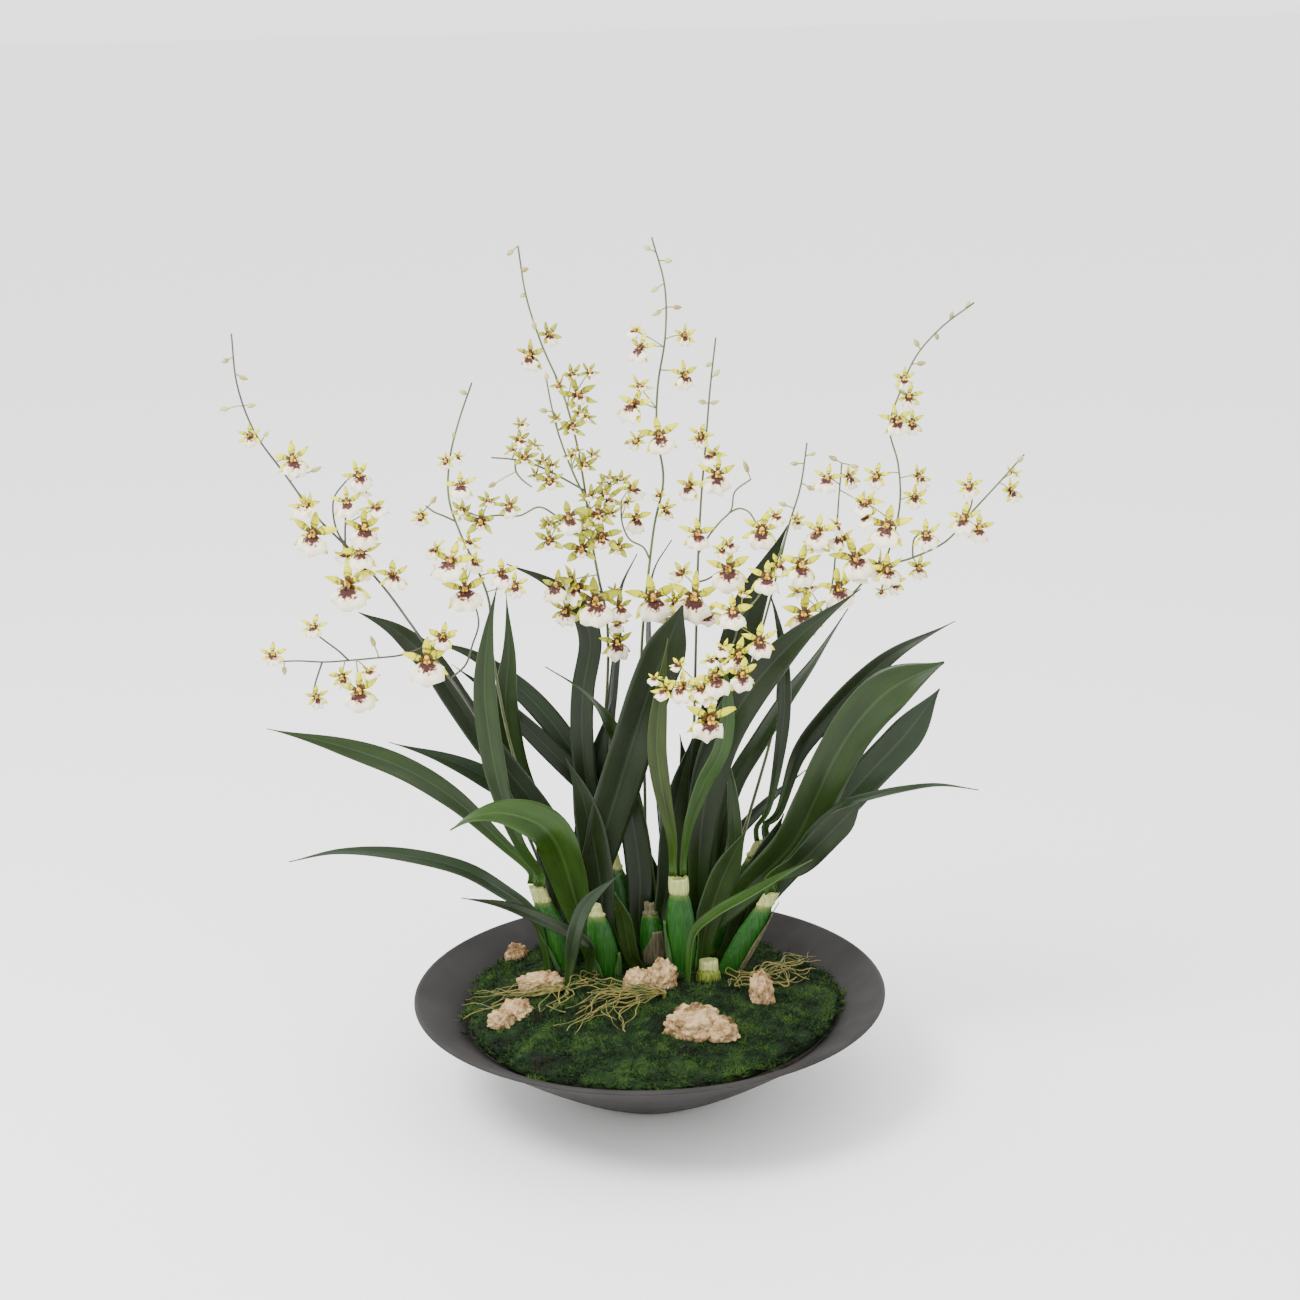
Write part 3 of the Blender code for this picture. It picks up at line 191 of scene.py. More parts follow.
# Flower sprays: foot (x, y in mm), main stem and side branches from below to the tip (across, down, back),
# blooms (across, down, how far in front of the stem in mm, spread in mm) and buds (the same, with a length)
SPRAYS = {
    "spray_far_left": {
        "foot": (-80, 62),
        "stem": ((546, 880, 52), (524, 830, 46), (508, 790, 40), (494, 755, 34), (478, 722, 28), (450, 680, 14),
                 (425, 648, 0), (392, 600, -12), (349, 552, -18), (308, 510, -24), (269, 455, -30), (239, 409, -34),
                 (227, 332, -37)),
        "branches": (((349, 552, -18), (336, 533, -22), (331, 503, -26), (344, 482, -28)),
                     ((343, 545, -19), (344, 515, -24), (343, 500, -26)),
                     ((425, 648, 0), (400, 657, -5), (361, 661, -8), (329, 664, -14), (300, 663, -18), (272, 664, -22)),
                     ((350, 662, -10), (330, 647, -16), (315, 636, -20)),
                     ((322, 664, -15), (316, 682, -18), (313, 696, -20)),
                     ((450, 680, 14), (462, 672, 20), (471, 648, 25), (478, 618, 24), (464, 588, 18)),),
        "blooms": ((247, 436, 8, 22), (290, 460, 10, 30), (312, 535, 12, 38), (356, 476, 4, 26),
                   (345, 503, 10, 26), (362, 529, 12, 32), (360, 554, 12, 32), (347, 586, 14, 40), (392, 577, 12, 28),
                   (272, 657, 4, 24), (313, 629, 4, 24), (316, 699, 4, 22), (342, 678, 8, 24), (359, 692, 12, 34),
                   (426, 662, 14, 40), (464, 590, 12, 38), (450, 562, 20, 38)),
        "buds": ((221, 360, 0, 7), (240, 377, 0, 8), (221, 409, 0, 8), (248, 405, 0, 8), (263, 434, 0, 6),
                 (314, 470, 6, 11), (284, 673, 0, 8), (372, 643, 2, 12)),
    },
    "spray_inner_left": {
        "foot": (-60, 82),
        "stem": ((564, 900, 80), (545, 850, 78), (526, 800, 75), (510, 745, 68), (503, 715, 52), (496, 680, 38),
                 (490, 640, 28), (487, 597, 22), (464, 544, 12), (453, 521, 8), (447, 494, 4), (450, 443, 0), (462, 407, -4), (470, 381, -6)),
        "branches": (((452, 520, 8), (432, 512, 2), (424, 506, 0)),),
        "blooms": ((459, 485, 10, 26), (444, 460, 4, 17), (420, 516, 0, 20), (501, 574, 14, 28), (514, 586, 18, 24)),
        "buds": ((461, 391, 0, 7), (432, 500, 0, 8), (452, 434, 2, 6)),
    },
    "spray_centre_left": {
        "foot": (-36, 106),
        "stem": ((600, 900, 108), (600, 840, 116), (602, 760, 118), (606, 700, 112), (608, 650, 96), (604, 600, 66),
                 (594, 560, 48), (586, 501, 36), (578, 450, 30), (561, 388, 26), (543, 347, 22), (528, 308, 18), (516, 240, 12)),
        "branches": (((586, 501, 36), (574, 475, 24), (560, 440, 16), (550, 402, 10), (545, 375, 8)),
                     ((583, 490, 34), (558, 475, 26), (529, 462, 16), (515, 459, 12), (490, 457, 6)),
                     ((515, 459, 12), (516, 474, 8), (531, 487, 6)),
                     ((590, 540, 44), (556, 516, 28), (541, 506, 20), (525, 517, 14), (508, 514, 8), (470, 520, 2)),),
        "blooms": ((547, 331, 8, 24), (529, 351, 4, 28), (577, 393, 12, 34), (571, 426, 10, 26),
                   (519, 439, 0, 22), (524, 457, 6, 24), (549, 480, 12, 26), (584, 464, 8, 24),
                   (608, 498, 6, 28), (597, 514, 18, 34), (602, 537, 20, 36), (568, 517, 14, 30),
                   (549, 540, 8, 28), (581, 549, 16, 34), (508, 506, 6, 24), (480, 522, 6, 30), (556, 586, 8, 30),
                   (565, 610, 10, 28), (595, 602, 18, 46), (616, 643, 14, 30), (620, 606, 10, 26)),
        "buds": ((508, 247, 0, 7), (523, 264, 0, 7), (521, 291, 0, 6), (533, 322, 4, 9), (545, 374, 0, 7),
                 (542, 409, 0, 8), (491, 485, 0, 8)),
    },
    "spray_centre": {
        "foot": (-8, 112),
        "stem": ((642, 900, 120), (645, 840, 128), (644, 760, 130), (641, 690, 126), (642, 640, 112), (646, 595, 86),
                 (650, 560, 74), (655, 521, 66), (664, 471, 58), (655, 411, 50), (664, 347, 44), (667, 292, 40), (652, 230, 34)),
        "branches": (((650, 560, 74), (640, 542, 60), (624, 534, 52), (621, 500, 48)),),
        "blooms": ((641, 343, 4, 26), (685, 331, 4, 22), (685, 371, 4, 26), (634, 401, 8, 34), (660, 433, 12, 34),
                   (666, 508, 8, 22), (632, 487, -4, 26), (636, 517, 0, 28), (653, 598, 20, 44)),
        "buds": ((647, 241, 0, 7), (669, 254, 0, 7), (655, 284, 0, 8), (678, 302, 2, 8), (657, 308, 4, 10),
                 (628, 440, 0, 8)),
    },
    "spray_centre_right": {
        "foot": (24, 108),
        "stem": ((686, 900, 120), (690, 830, 128), (694, 740, 130), (696, 660, 112), (698, 579, 72), (700, 528, 62),
                 (703, 482, 56), (708, 425, 50), (712, 375, 48), (717, 333, 45)),
        "branches": (((699, 550, 66), (718, 524, 56), (731, 513, 50), (735, 492, 46), (752, 478, 44)),
                     ((731, 513, 50), (745, 507, 42), (757, 522, 38)),
                     ((698, 585, 74), (716, 574, 62), (730, 566, 56)),),
        "blooms": ((702, 433, 8, 24), (718, 472, 10, 34), (690, 484, 6, 26), (698, 533, 12, 30), (694, 596, 22, 44),
                   (729, 568, 10, 38), (763, 529, 8, 34)),
        "buds": ((710, 361, 0, 6), (718, 369, 0, 8), (703, 399, 0, 8), (716, 399, 0, 8), (747, 465, 2, 13)),
    },
    "spray_front_right": {
        "foot": (44, 112),
        "stem": ((702, 900, 122), (716, 830, 130), (730, 760, 130), (746, 690, 122), (760, 640, 112), (774, 590, 96),
                 (789, 530, 62), (798, 498, 50), (805, 475, 44), (809, 441, 40)),
        "branches": (((789, 530, 62), (780, 556, 40), (762, 594, 26), (742, 616, 10), (736, 640, -2), (722, 664, -12),
                      (700, 690, -18)),
                     ((780, 556, 40), (798, 558, 32)),),
        "blooms": ((798, 519, 2, 17), (802, 565, 4, 36), (768, 578, 8, 32), (760, 642, 16, 30), (733, 613, 10, 34),
                   (738, 656, 8, 30), (742, 676, 10, 28), (715, 680, 10, 34), (682, 688, 8, 30), (665, 691, 4, 24),
                   (710, 720, 12, 44)),
        "buds": ((815, 452, 0, 6), (796, 462, 0, 7), (813, 487, 0, 8), (784, 503, 0, 8)),
    },
    "spray_far_right": {
        "foot": (72, 98),
        "stem": ((726, 900, 106), (742, 840, 112), (760, 780, 116), (776, 720, 112), (782, 670, 98), (804, 632, 74), (827, 610, 52),
                 (849, 598, 42), (868, 582, 36), (884, 565, 30), (919, 557, 22), (948, 542, 16), (962, 526, 12),
                 (1000, 485, 4), (1028, 454, 0)),
        "branches": (((884, 565, 30), (893, 545, 24), (902, 508, 18), (901, 465, 12), (892, 430, 8), (902, 393, 6),
                      (929, 340, 0), (979, 299, -6)),
                     ((827, 610, 52), (836, 570, 40), (839, 520, 34), (844, 462, 30)),
                     ((915, 557, 23), (916, 540, 16), (926, 532, 12)),
                     ((960, 528, 12), (972, 512, 8), (976, 492, 6)),),
        "blooms": ((1014, 491, 4, 24), (972, 486, 2, 24), (966, 519, 8, 28), (981, 528, 8, 26), (928, 535, 6, 26),
                   (921, 568, -4, 24), (889, 570, 10, 28), (896, 583, 2, 22), (857, 558, 12, 40), (839, 588, 14, 34),
                   (805, 614, 14, 38), (907, 377, 6, 22), (912, 394, -4, 24), (899, 419, 8, 28), (915, 421, -4, 24),
                   (879, 475, 4, 24), (921, 476, 2, 24), (917, 497, 6, 24), (889, 526, 14, 40), (829, 477, 6, 26),
                   (851, 476, -2, 22), (865, 503, 6, 24), (820, 531, 10, 32)),
        "buds": ((920, 340, 0, 8), (941, 334, 0, 6), (956, 311, 0, 6), (973, 300, 2, 5), (925, 361, 2, 8),
                 (835, 457, 0, 9), (857, 465, 0, 8), (1024, 459, 2, 8)),
    },
}

# Bark chunks: middle (x, y in mm) and the lobes as (x, y, z offset, half sizes) in mm
BARK = {
    "bark_left": ((-92, 4), ((0, 0, 6, 17, 9, 8),)),
    "bark_front_left": ((-112, -38), ((0, 0, 5, 12, 11, 7), (-12, -13, 3, 10, 9, 7))),
    "bark_middle": ((2, -10), ((-12, 1, 5, 11, 9, 9), (9, 2, 8, 11, 10, 12))),
    "bark_front": ((36, -88), ((0, 0, 7, 21, 15, 12), (21, -6, 4, 13, 11, 9))),
    "bark_right": ((94, -30), ((0, 0, 8, 9, 9, 14),)),
    "bark_rear": ((-117, 92), ((0, 0, 5, 9, 9, 8),)),
}

# Root bundles: a crown (x, y in mm) and where each root runs over the moss (x, y in mm)
ROOTS = {
    "roots_left": ((-70, -12), (((-96, -17), (-128, -22), (-156, -26)), ((-92, -14), (-122, -8), (-146, 2)),
                                ((-72, -26), (-84, -42), (-72, -56)), ((-58, -4), (-46, 6), (-36, 0)))),
    "roots_centre": ((12, -30), (((-14, -34), (-42, -38), (-62, -62)), ((-14, -44), (-40, -56), (-70, -88)),
                                 ((-16, -28), (-38, -26), (-52, -22)), ((-20, -54), (-24, -78), (-20, -96)))),
    "roots_right": ((88, 14), (((102, 14), (124, 32), (146, 44)), ((100, 22), (120, 52), (138, 76)),
                               ((80, 0), (72, -16), (88, -12)), ((106, 2), (118, 4), (128, 16)))),
}


def from_view(across, down, back):
    """The point seen at (across, down) on the front drawing, BACK mm behind the bowl's axis."""
    right = across - VIEW_MIDDLE[0]
    low = down - VIEW_MIDDLE[1]
    side = (right * math.cos(VIEW_ROLL) + low * math.sin(VIEW_ROLL)) * VIEW_UNIT
    rise = (right * math.sin(VIEW_ROLL) - low * math.cos(VIEW_ROLL)) * VIEW_UNIT
    sine = math.sin(VIEW_ELEVATION)
    cosine = math.cos(VIEW_ELEVATION)
    y = back * MM
    z = (rise * (VIEW_DISTANCE + y * cosine) - y * VIEW_DISTANCE * sine) / (VIEW_DISTANCE * cosine + rise * sine)
    depth = VIEW_DISTANCE + y * cosine - z * sine
    return Vector((side * depth / VIEW_DISTANCE, y, RIM_HEIGHT + z))


def smooth_path(points, count):
    """COUNT evenly spaced points on a smooth curve through POINTS, with the curve's ends at theirs."""
    ends = [points[0] * 2 - points[1]] + list(points) + [points[-1] * 2 - points[-2]]
    fine = []
    for i in range(1, len(ends) - 2):
        before, start, stop, after = ends[i - 1:i + 3]
        for k in range(16):
            t = k / 16
            fine.append(0.5 * (2 * start + (stop - before) * t
                               + (2 * before - 5 * start + 4 * stop - after) * t ** 2
                               + (3 * start - before - 3 * stop + after) * t ** 3))
    fine.append(points[-1])
    along = [0.0]
    for a, b in zip(fine, fine[1:]):
        along.append(along[-1] + (b - a).length)
    path = []
    place = 0
    for i in range(count):
        target = along[-1] * i / (count - 1)
        while place < len(along) - 2 and along[place + 1] < target:
            place += 1
        share = (target - along[place]) / max(along[place + 1] - along[place], 1e-9)
        path.append(fine[place].lerp(fine[place + 1], min(share, 1.0)))
    return path


def ramp(value, low, high):
    """0 below LOW, 1 above HIGH, and a smooth step between them."""
    t = min(max((value - low) / (high - low), 0.0), 1.0)
    return t * t * (3 - 2 * t)


def inner_radius(height):
    """The bowl's inner radius at a height, read along its outside less the wall."""
    rows = [(z * MM, r * MM) for r, z in reversed(BOWL_OUTSIDE)]
    for (z0, r0), (z1, r1) in zip(rows, rows[1:]):
        if z0 <= height - WALL * 0.55 <= z1:
            share = (height - WALL * 0.55 - z0) / (z1 - z0)
            return r0 + (r1 - r0) * share - WALL * 0.75
    return rows[-1][1]


def moss_edge(angle):
    """The mat's uneven outline."""
    return MOSS_RADIUS * (1 + 0.022 * math.sin(3 * angle + 0.6) + 0.014 * math.sin(5 * angle + 2.0)
                          + 0.01 * math.sin(8 * angle))


def moss_height(x, y):
    """The top of the moss: a low mound with slow swells."""
    share = min(math.hypot(x, y) / moss_edge(math.atan2(y, x)), 1.0)
    swell = 1.2 * MM * math.sin(x * 48 + 0.5) * math.cos(y * 41 - 0.7)
    return MOSS_EDGE_HEIGHT + MOSS_CROWN * (1 - share ** 2.2) ** 0.8 + swell * (1 - share)


def bark_floor(middle):
    """A chunk lies 4 mm deep in the moss."""
    return moss_height(middle[0] * MM, middle[1] * MM) - 4 * MM


def bulb_axis(name):
    """The foot and the top of a pseudobulb."""
    foot, top, _, _ = BULBS[name]
    return Vector((foot[0] * MM, foot[1] * MM, FOOT_HEIGHT)), from_view(*top)


def leaf_path(name):
    """The points of a leaf's midrib, from its foot or from the top of its bulb."""
    seat, aside = LEAVES[name][:2]
    drawn = [from_view(*point) for point in LEAVES[name][5]]
    if isinstance(seat, str):
        foot, top = bulb_axis(seat)
        start = top + Vector((aside[0] * MM, aside[1] * MM, 5 * TOUCH_GAP))
        return [start, start + Vector((0, 0, 13 * MM))] + drawn
    foot = Vector((seat[0] * MM, seat[1] * MM, FOOT_HEIGHT))
    return [foot, foot + Vector((0, 0, 20 * MM))] + drawn


def nearest(points, place):
    return min(points, key=lambda p: (p - place).length)


def bloom_frame(centre, facing):
    """Local +Z is the way the bloom looks and local +Y its upper side."""
    z = facing.normalized()
    y = (Vector((0, 0, 1)) - z * z.z).normalized()
    x = y.cross(z)
    frame = Matrix((x, y, z)).transposed().to_4x4()
    frame.translation = centre
    return frame


def spray_lines(plan):
    """The main stem and the side branches as lists of points."""
    foot = Vector((plan["foot"][0] * MM, plan["foot"][1] * MM, FOOT_HEIGHT))
    stem = [foot, foot + Vector((0, 0, 16 * MM))] + [from_view(*p) for p in plan["stem"]]
    branches = [[from_view(*p) for p in branch] for branch in plan["branches"]]
    return smooth_path(stem, len(stem) + 2), [smooth_path(b, len(b) + 1) for b in branches]


def linear(code):
    """The linear colour of an sRGB hex value."""
    shares = [int(code[i:i + 2], 16) / 255 for i in (0, 2, 4)]
    return tuple(c / 12.92 if c <= 0.04045 else ((c + 0.055) / 1.055) ** 2.4 for c in shares)


def colour_property(name, description, code):
    return FloatVectorProperty(name=name, description=description, subtype="COLOR", size=3, min=0.0, max=1.0,
                               default=linear(code))


def add_node(tree, kind, values=None, links=None, stops=None, **settings):
    """One shader node with its settings, socket values, links and, on a colour ramp, its stops."""
    node = tree.nodes.new("ShaderNode" + kind)
    for key, value in settings.items():
        setattr(node, key, value)
    for key, value in (values or {}).items():
        node.inputs[key].default_value = value
    for key, source in (links or {}).items():
        tree.links.new(source, node.inputs[key])
    for k, (place, colour) in enumerate(stops or ()):
        stop = node.color_ramp.elements[k] if k < 2 else node.color_ramp.elements.new(place)
        stop.position = place
        stop.color = (*colour, 1)
    return node


def new_material(name, **sockets):
    """A material, its node tree and its shader with the given plain socket values."""
    material = bpy.data.materials.new(name)
    material.use_nodes = True
    shader = material.node_tree.nodes["Principled BSDF"]
    for key, value in sockets.items():
        shader.inputs[key.replace("_", " ")].default_value = value
    return material, material.node_tree, shader


def add_bump(tree, shader, height, strength, depth):
    """A bump of DEPTH metres on a shader."""
    bump = add_node(tree, "Bump", {"Strength": strength, "Distance": depth}, {"Height": height})
    tree.links.new(bump.outputs["Normal"], shader.inputs["Normal"])


def piece_of(name, bm, materials, replaced=()):
    """A finished piece of the plant or the bowl, with its place in its mesh."""
    mesh = bpy.data.meshes.new(name)
    bm.to_mesh(mesh)
    bm.free()
    mesh.shade_smooth()
    for material in materials:
        mesh.materials.append(material)
    obj = bpy.data.objects.new(name, mesh)
    bpy.context.scene.collection.objects.link(obj)
    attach(obj, "root")
    if replaced:
        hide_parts(*replaced)
    return obj


def template(name, bm):
    """A small mesh that is stamped many times."""
    mesh = bpy.data.meshes.new(name)
    bm.to_mesh(mesh)
    bm.free()
    return mesh


def stamp(bm, mesh, place):
    """Adds a placed copy of a small mesh."""
    copy = mesh.copy()
    copy.transform(place)
    bm.from_mesh(copy)
    bpy.data.meshes.remove(copy)


def sphere_levels(bm, around, rings):
    """A sphere whose rings are numbered from 0 at its foot, as {vertex: (ring, angle)}."""
    made = bmesh.ops.create_uvsphere(bm, u_segments=around, v_segments=rings + 1, radius=1.0)
    places = {}
    for vert in made["verts"]:
        level = round(math.acos(max(-1.0, min(1.0, -vert.co.z))) / math.pi * (rings + 1))
        places[vert] = (level, math.atan2(vert.co.y, vert.co.x))
    return places


def sleeve(bm, path, radius, around, material=0):
    """A closed round tube along PATH. RADIUS gives its radius at a share of the length."""
    last = len(path) - 1
    frames = []
    side = Vector((1, 0.3, 0.1))
    for i in range(last + 1):
        along = (path[min(i + 1, last)] - path[max(i - 1, 0)]).normalized()
        side = (side - along * side.dot(along)).normalized()
        frames.append((side.copy(), along.cross(side), along))
    places = sphere_levels(bm, around, last + 1)
    for vert, (level, angle) in places.items():
        i = min(max(level - 1, 0), last)
        x, y, along = frames[i]
        width = radius(i / last)
        if level in (0, last + 2):
            vert.co = path[i] + along * width * (0.4 if level else -0.4)
        else:
            vert.co = path[i] + (x * math.cos(angle) + y * math.sin(angle)) * width
    for face in {f for vert in places for f in vert.link_faces}:
        face.material_index = material


def towards(start, stop):
    """A frame at START whose +Z looks at STOP."""
    turn = Vector((0, 0, 1)).rotation_difference(stop - start).to_matrix().to_4x4()
    return Matrix.Translation(start) @ turn


# ---------------------------------------------------------------- bowl and growing medium


class BowlSettings(bpy.types.PropertyGroup):
    turn_steps: IntProperty(name="Turn steps", description="Steps of the turned wall", default=160, min=24, max=360)
    wall: FloatProperty(name="Wall", description="Thickness of the wall", default=WALL, min=0.002, max=0.01, unit="LENGTH")
    clay: colour_property("Stoneware", "Colour of the matt stoneware", "252322")
    clay_light: colour_property("Worn stoneware", "Colour where the wall is rubbed", "302e2d")
    medium: colour_property("Growing medium", "Colour of the composted bark", "2a1f16")


def matt_stoneware(settings):
    """Thrown stoneware with a matt slip: an even dark grey with faint turning rings and a fine dry grain."""
    material, tree, shader = new_material("matt_thrown_stoneware", Roughness=0.7, IOR=1.5, Specular_IOR_Level=0.18)
    place = add_node(tree, "TexCoord").outputs["Object"]
    # Clouds in the slip are about 45 mm across
    cloud = add_node(tree, "TexNoise", {"Scale": 1 / 0.045, "Detail": 3.0}, {"Vector": place})
    tone = add_node(tree, "ValToRGB", links={"Fac": cloud.outputs["Fac"]},
                    stops=((0.35, settings.clay), (0.72, settings.clay_light)))
    tree.links.new(tone.outputs["Color"], shader.inputs["Base Color"])
    # Grain of the slip: real grains are near 0.4 mm and are drawn at 1.2 mm, or they would not show
    grain = add_node(tree, "TexNoise", {"Scale": 1 / 0.0012, "Detail": 2.0}, {"Vector": place})
    # Turning rings lie 6 mm apart up the wall
    flat = add_node(tree, "Mapping", {"Scale": (2.0, 2.0, 1 / 0.006)}, {"Vector": place})
    rings = add_node(tree, "TexNoise", {"Scale": 1.0, "Detail": 1.0}, {"Vector": flat.outputs["Vector"]})
    height = add_node(tree, "Math", {1: 0.35}, {0: grain.outputs["Fac"], 2: rings.outputs["Fac"]}, operation="MULTIPLY_ADD")
    add_bump(tree, shader, height.outputs["Value"], 0.35, 0.25 * MM)
    return material


def composted_bark(settings):
    """Composted bark under the moss: dark, damp and crumbly, with chips near 5 mm."""
    material, tree, shader = new_material("composted_bark", Roughness=0.9)
    place = add_node(tree, "TexCoord").outputs["Object"]
    chips = add_node(tree, "TexVoronoi", {"Scale": 1 / 0.005}, {"Vector": place})
    tone = add_node(tree, "ValToRGB", links={"Fac": chips.outputs["Distance"]},
                    stops=((0.1, settings.medium), (0.8, tuple(c * 0.4 for c in settings.medium))))
    tree.links.new(tone.outputs["Color"], shader.inputs["Base Color"])
    add_bump(tree, shader, chips.outputs["Distance"], 0.8, 2 * MM)
    return material


class ORCHID_OT_bowl(bpy.types.Operator):
    """Turn the stoneware bowl and finish the growing medium in it"""
    bl_idname = "orchid.bowl"
    bl_label = "Bowl"

    def execute(self, context):
        settings = context.scene.orchid_bowl
        outside = smooth_path([Vector((r * MM, 0, z * MM)) for r, z in BOWL_OUTSIDE[:-1]], 40)
        inside = smooth_path([Vector((48 * MM, 0, BOWL_FLOOR))] +
                             [Vector((inner_radius(z * MM), 0, z * MM)) for z in (14, 20, 33, 46, 64, 80)], 36)
        middle = Vector((RIM_RADIUS - settings.wall / 2, 0, RIM_HEIGHT - settings.wall / 2))
        rim = [middle + Vector((math.cos(a), 0, math.sin(a))) * settings.wall / 2
               for a in (math.pi * k / 8 for k in range(6, -1, -1))]
        profile = [Vector((0, 0, BOWL_FLOOR))] + inside + rim + outside
        profile += [Vector((57 * MM, 0, 0.4 * MM)), Vector((54 * MM, 0, 0)), Vector((0, 0, 0))]
        bm = bmesh.new()
        line = [bm.verts.new(co) for co in profile]
        edges = [bm.edges.new(pair) for pair in zip(line, line[1:])]
        bmesh.ops.spin(bm, geom=line + edges, cent=(0, 0, 0), axis=(0, 0, 1), angle=2 * math.pi,
                       steps=settings.turn_steps, use_merge=True)
        bmesh.ops.remove_doubles(bm, verts=bm.verts, dist=0.01 * MM)
        bmesh.ops.recalc_face_normals(bm, faces=bm.faces)
        piece_of("bowl_turned", bm, [matt_stoneware(settings)], ["bowl"])
        medium = frame["nodes"]["growing_medium"].data
        medium.materials.clear()
        medium.materials.append(composted_bark(settings))
        return {"FINISHED"}


# ---------------------------------------------------------------- moss


class MossSettings(bpy.types.PropertyGroup):
    spacing: FloatProperty(name="Tuft spacing", description="Distance between moss tufts", default=4.9 * MM,
                           min=0.002, max=0.02, unit="LENGTH")
    strand: FloatProperty(name="Strand length", description="Length of the longest moss strands", default=8.0 * MM,
                          min=0.002, max=0.02, unit="LENGTH")
    # Painted shade: the deep colour darkens each strand towards its foot and the mat between the strands.
    deep: colour_property("Deep moss", "Colour between the strands", "060c05")
    strands: colour_property("Moss strands", "Colour of most strands", "14300f")
    tips: colour_property("Moss tips", "Colour of the strand tips", "3f5c20")


def sheet_moss(settings):
    """Dried and dyed sheet moss: matt, with yellower tips and browner patches, and painted shade that darkens each
    strand towards its foot and the mat between the strands.
    """
    material, tree, shader = new_material("dyed_sheet_moss", Roughness=0.9)
    shader.inputs["Specular IOR Level"].default_value = 0.2
    up = add_node(tree, "SeparateXYZ", links={"Vector": add_node(tree, "UVMap", uv_map="strand").outputs["UV"]})
    place = add_node(tree, "TexCoord").outputs["Object"]
    # Patches of drier moss are about 22 mm across
    patch = add_node(tree, "TexNoise", {"Scale": 1 / 0.022, "Detail": 4.0}, {"Vector": place})
    mixed = add_node(tree, "Math", {1: 0.40}, {0: up.outputs["X"], 2: patch.outputs["Fac"]}, operation="MULTIPLY_ADD")
    tone = add_node(tree, "ValToRGB", links={"Fac": mixed.outputs["Value"]},
                    stops=((0.40, linear("1e190c")), (0.52, linear("0c2009")), (0.66, settings.strands), (0.92, settings.tips)))
    # Painted shade: each strand goes from the deep colour at its foot to its full tone near its tip.
    rise = add_node(tree, "ValToRGB", links={"Fac": up.outputs["Y"]}, stops=((0.0, (0.12,) * 3), (0.75, (1.0,) * 3)))
    dark = add_node(tree, "Mix", data_type="RGBA", blend_type="MIX")
    dark.inputs["A"].default_value = (*settings.deep, 1)
    tree.links.new(rise.outputs["Color"], dark.inputs["Factor"])
    tree.links.new(tone.outputs["Color"], dark.inputs["B"])
    tree.links.new(dark.outputs["Result"], shader.inputs["Base Color"])
    # Strand texture of the mat below the tufts: strands are 0.5 mm and are drawn at 1.5 mm
    strands = add_node(tree, "TexNoise", {"Scale": 1 / 0.0015, "Detail": 3.0}, {"Vector": place})
    add_bump(tree, shader, strands.outputs["Fac"], 0.9, 1.2 * MM)
    return material


def moss_top(x, y):
    """The lumpy surface of the mat: clumps 30 mm and 9 mm across on the low mound."""
    lumps = noise.noise(Vector((x, y, 0)) / 0.016) * 2.6 + noise.noise(Vector((x, y, 3)) / 0.0055) * 1.1
    return moss_height(x, y) + (lumps - 0.8) * MM


def moss_mat(settings, material):
    """The mat itself: a low mound with a lumpy top, closed underneath."""
    rows = 44
    bm = bmesh.new()
    uv = bm.loops.layers.uv.new("strand")
    bottom = MEDIUM_TOP + TOUCH_GAP
    for vert, (level, angle) in sphere_levels(bm, 144, rows + 2).items():
        # The mat's own edge stays a little inside the tufts that hang over it
        edge = moss_edge(angle) - 4 * MM
        share = (rows + 3 - level) / rows
        if level > 2:
            x, y = edge * share * math.cos(angle), edge * share * math.sin(angle)
            vert.co = (x, y, moss_top(x, y))
        else:
            height = (bottom, bottom, bottom + 3 * MM)[level]
            radius = min(edge, inner_radius(height) - 1.0 * MM) if level else 0
            vert.co = (radius * math.cos(angle), radius * math.sin(angle), height)
    for face in bm.faces:
        for loop in face.loops:
            # The mat sits at a strand height of 0.32, so it is about half in the painted shade.
            loop[uv].uv = (0.35, 0.32)
    piece_of("moss_mat", bm, [material], ["moss_bed"])


def moss_tuft(number, settings):
    """A tuft of a dozen thin spikes that lean outwards."""
    chance = random.Random(100 + number)
    bm = bmesh.new()
    uv = bm.loops.layers.uv.new("strand")
    for k in range(11):
        length = settings.strand * chance.uniform(0.45, 1.0)
        spike = bmesh.ops.create_cone(bm, cap_ends=True, segments=3, radius1=0.55 * MM, radius2=0.0, depth=length)["verts"]
        for face in {f for vert in spike for f in vert.link_faces}:
            for loop in face.loops:
                loop[uv].uv = (number / 7, 0.15 + 0.85 * (loop.vert.co.z / length + 0.5))
        lean = Matrix.Rotation(chance.uniform(0.35, 1.35), 4, "X")
        turn = Matrix.Rotation(k * 2.4 + chance.uniform(-0.4, 0.4), 4, "Z")
        foot = Matrix.Translation((chance.uniform(-2, 2) * MM, chance.uniform(-2, 2) * MM, -1.0 * MM))
        bmesh.ops.transform(bm, matrix=foot @ turn @ lean @ Matrix.Translation((0, 0, length / 2)), verts=spike)
    return template(f"moss_tuft_{number}", bm)


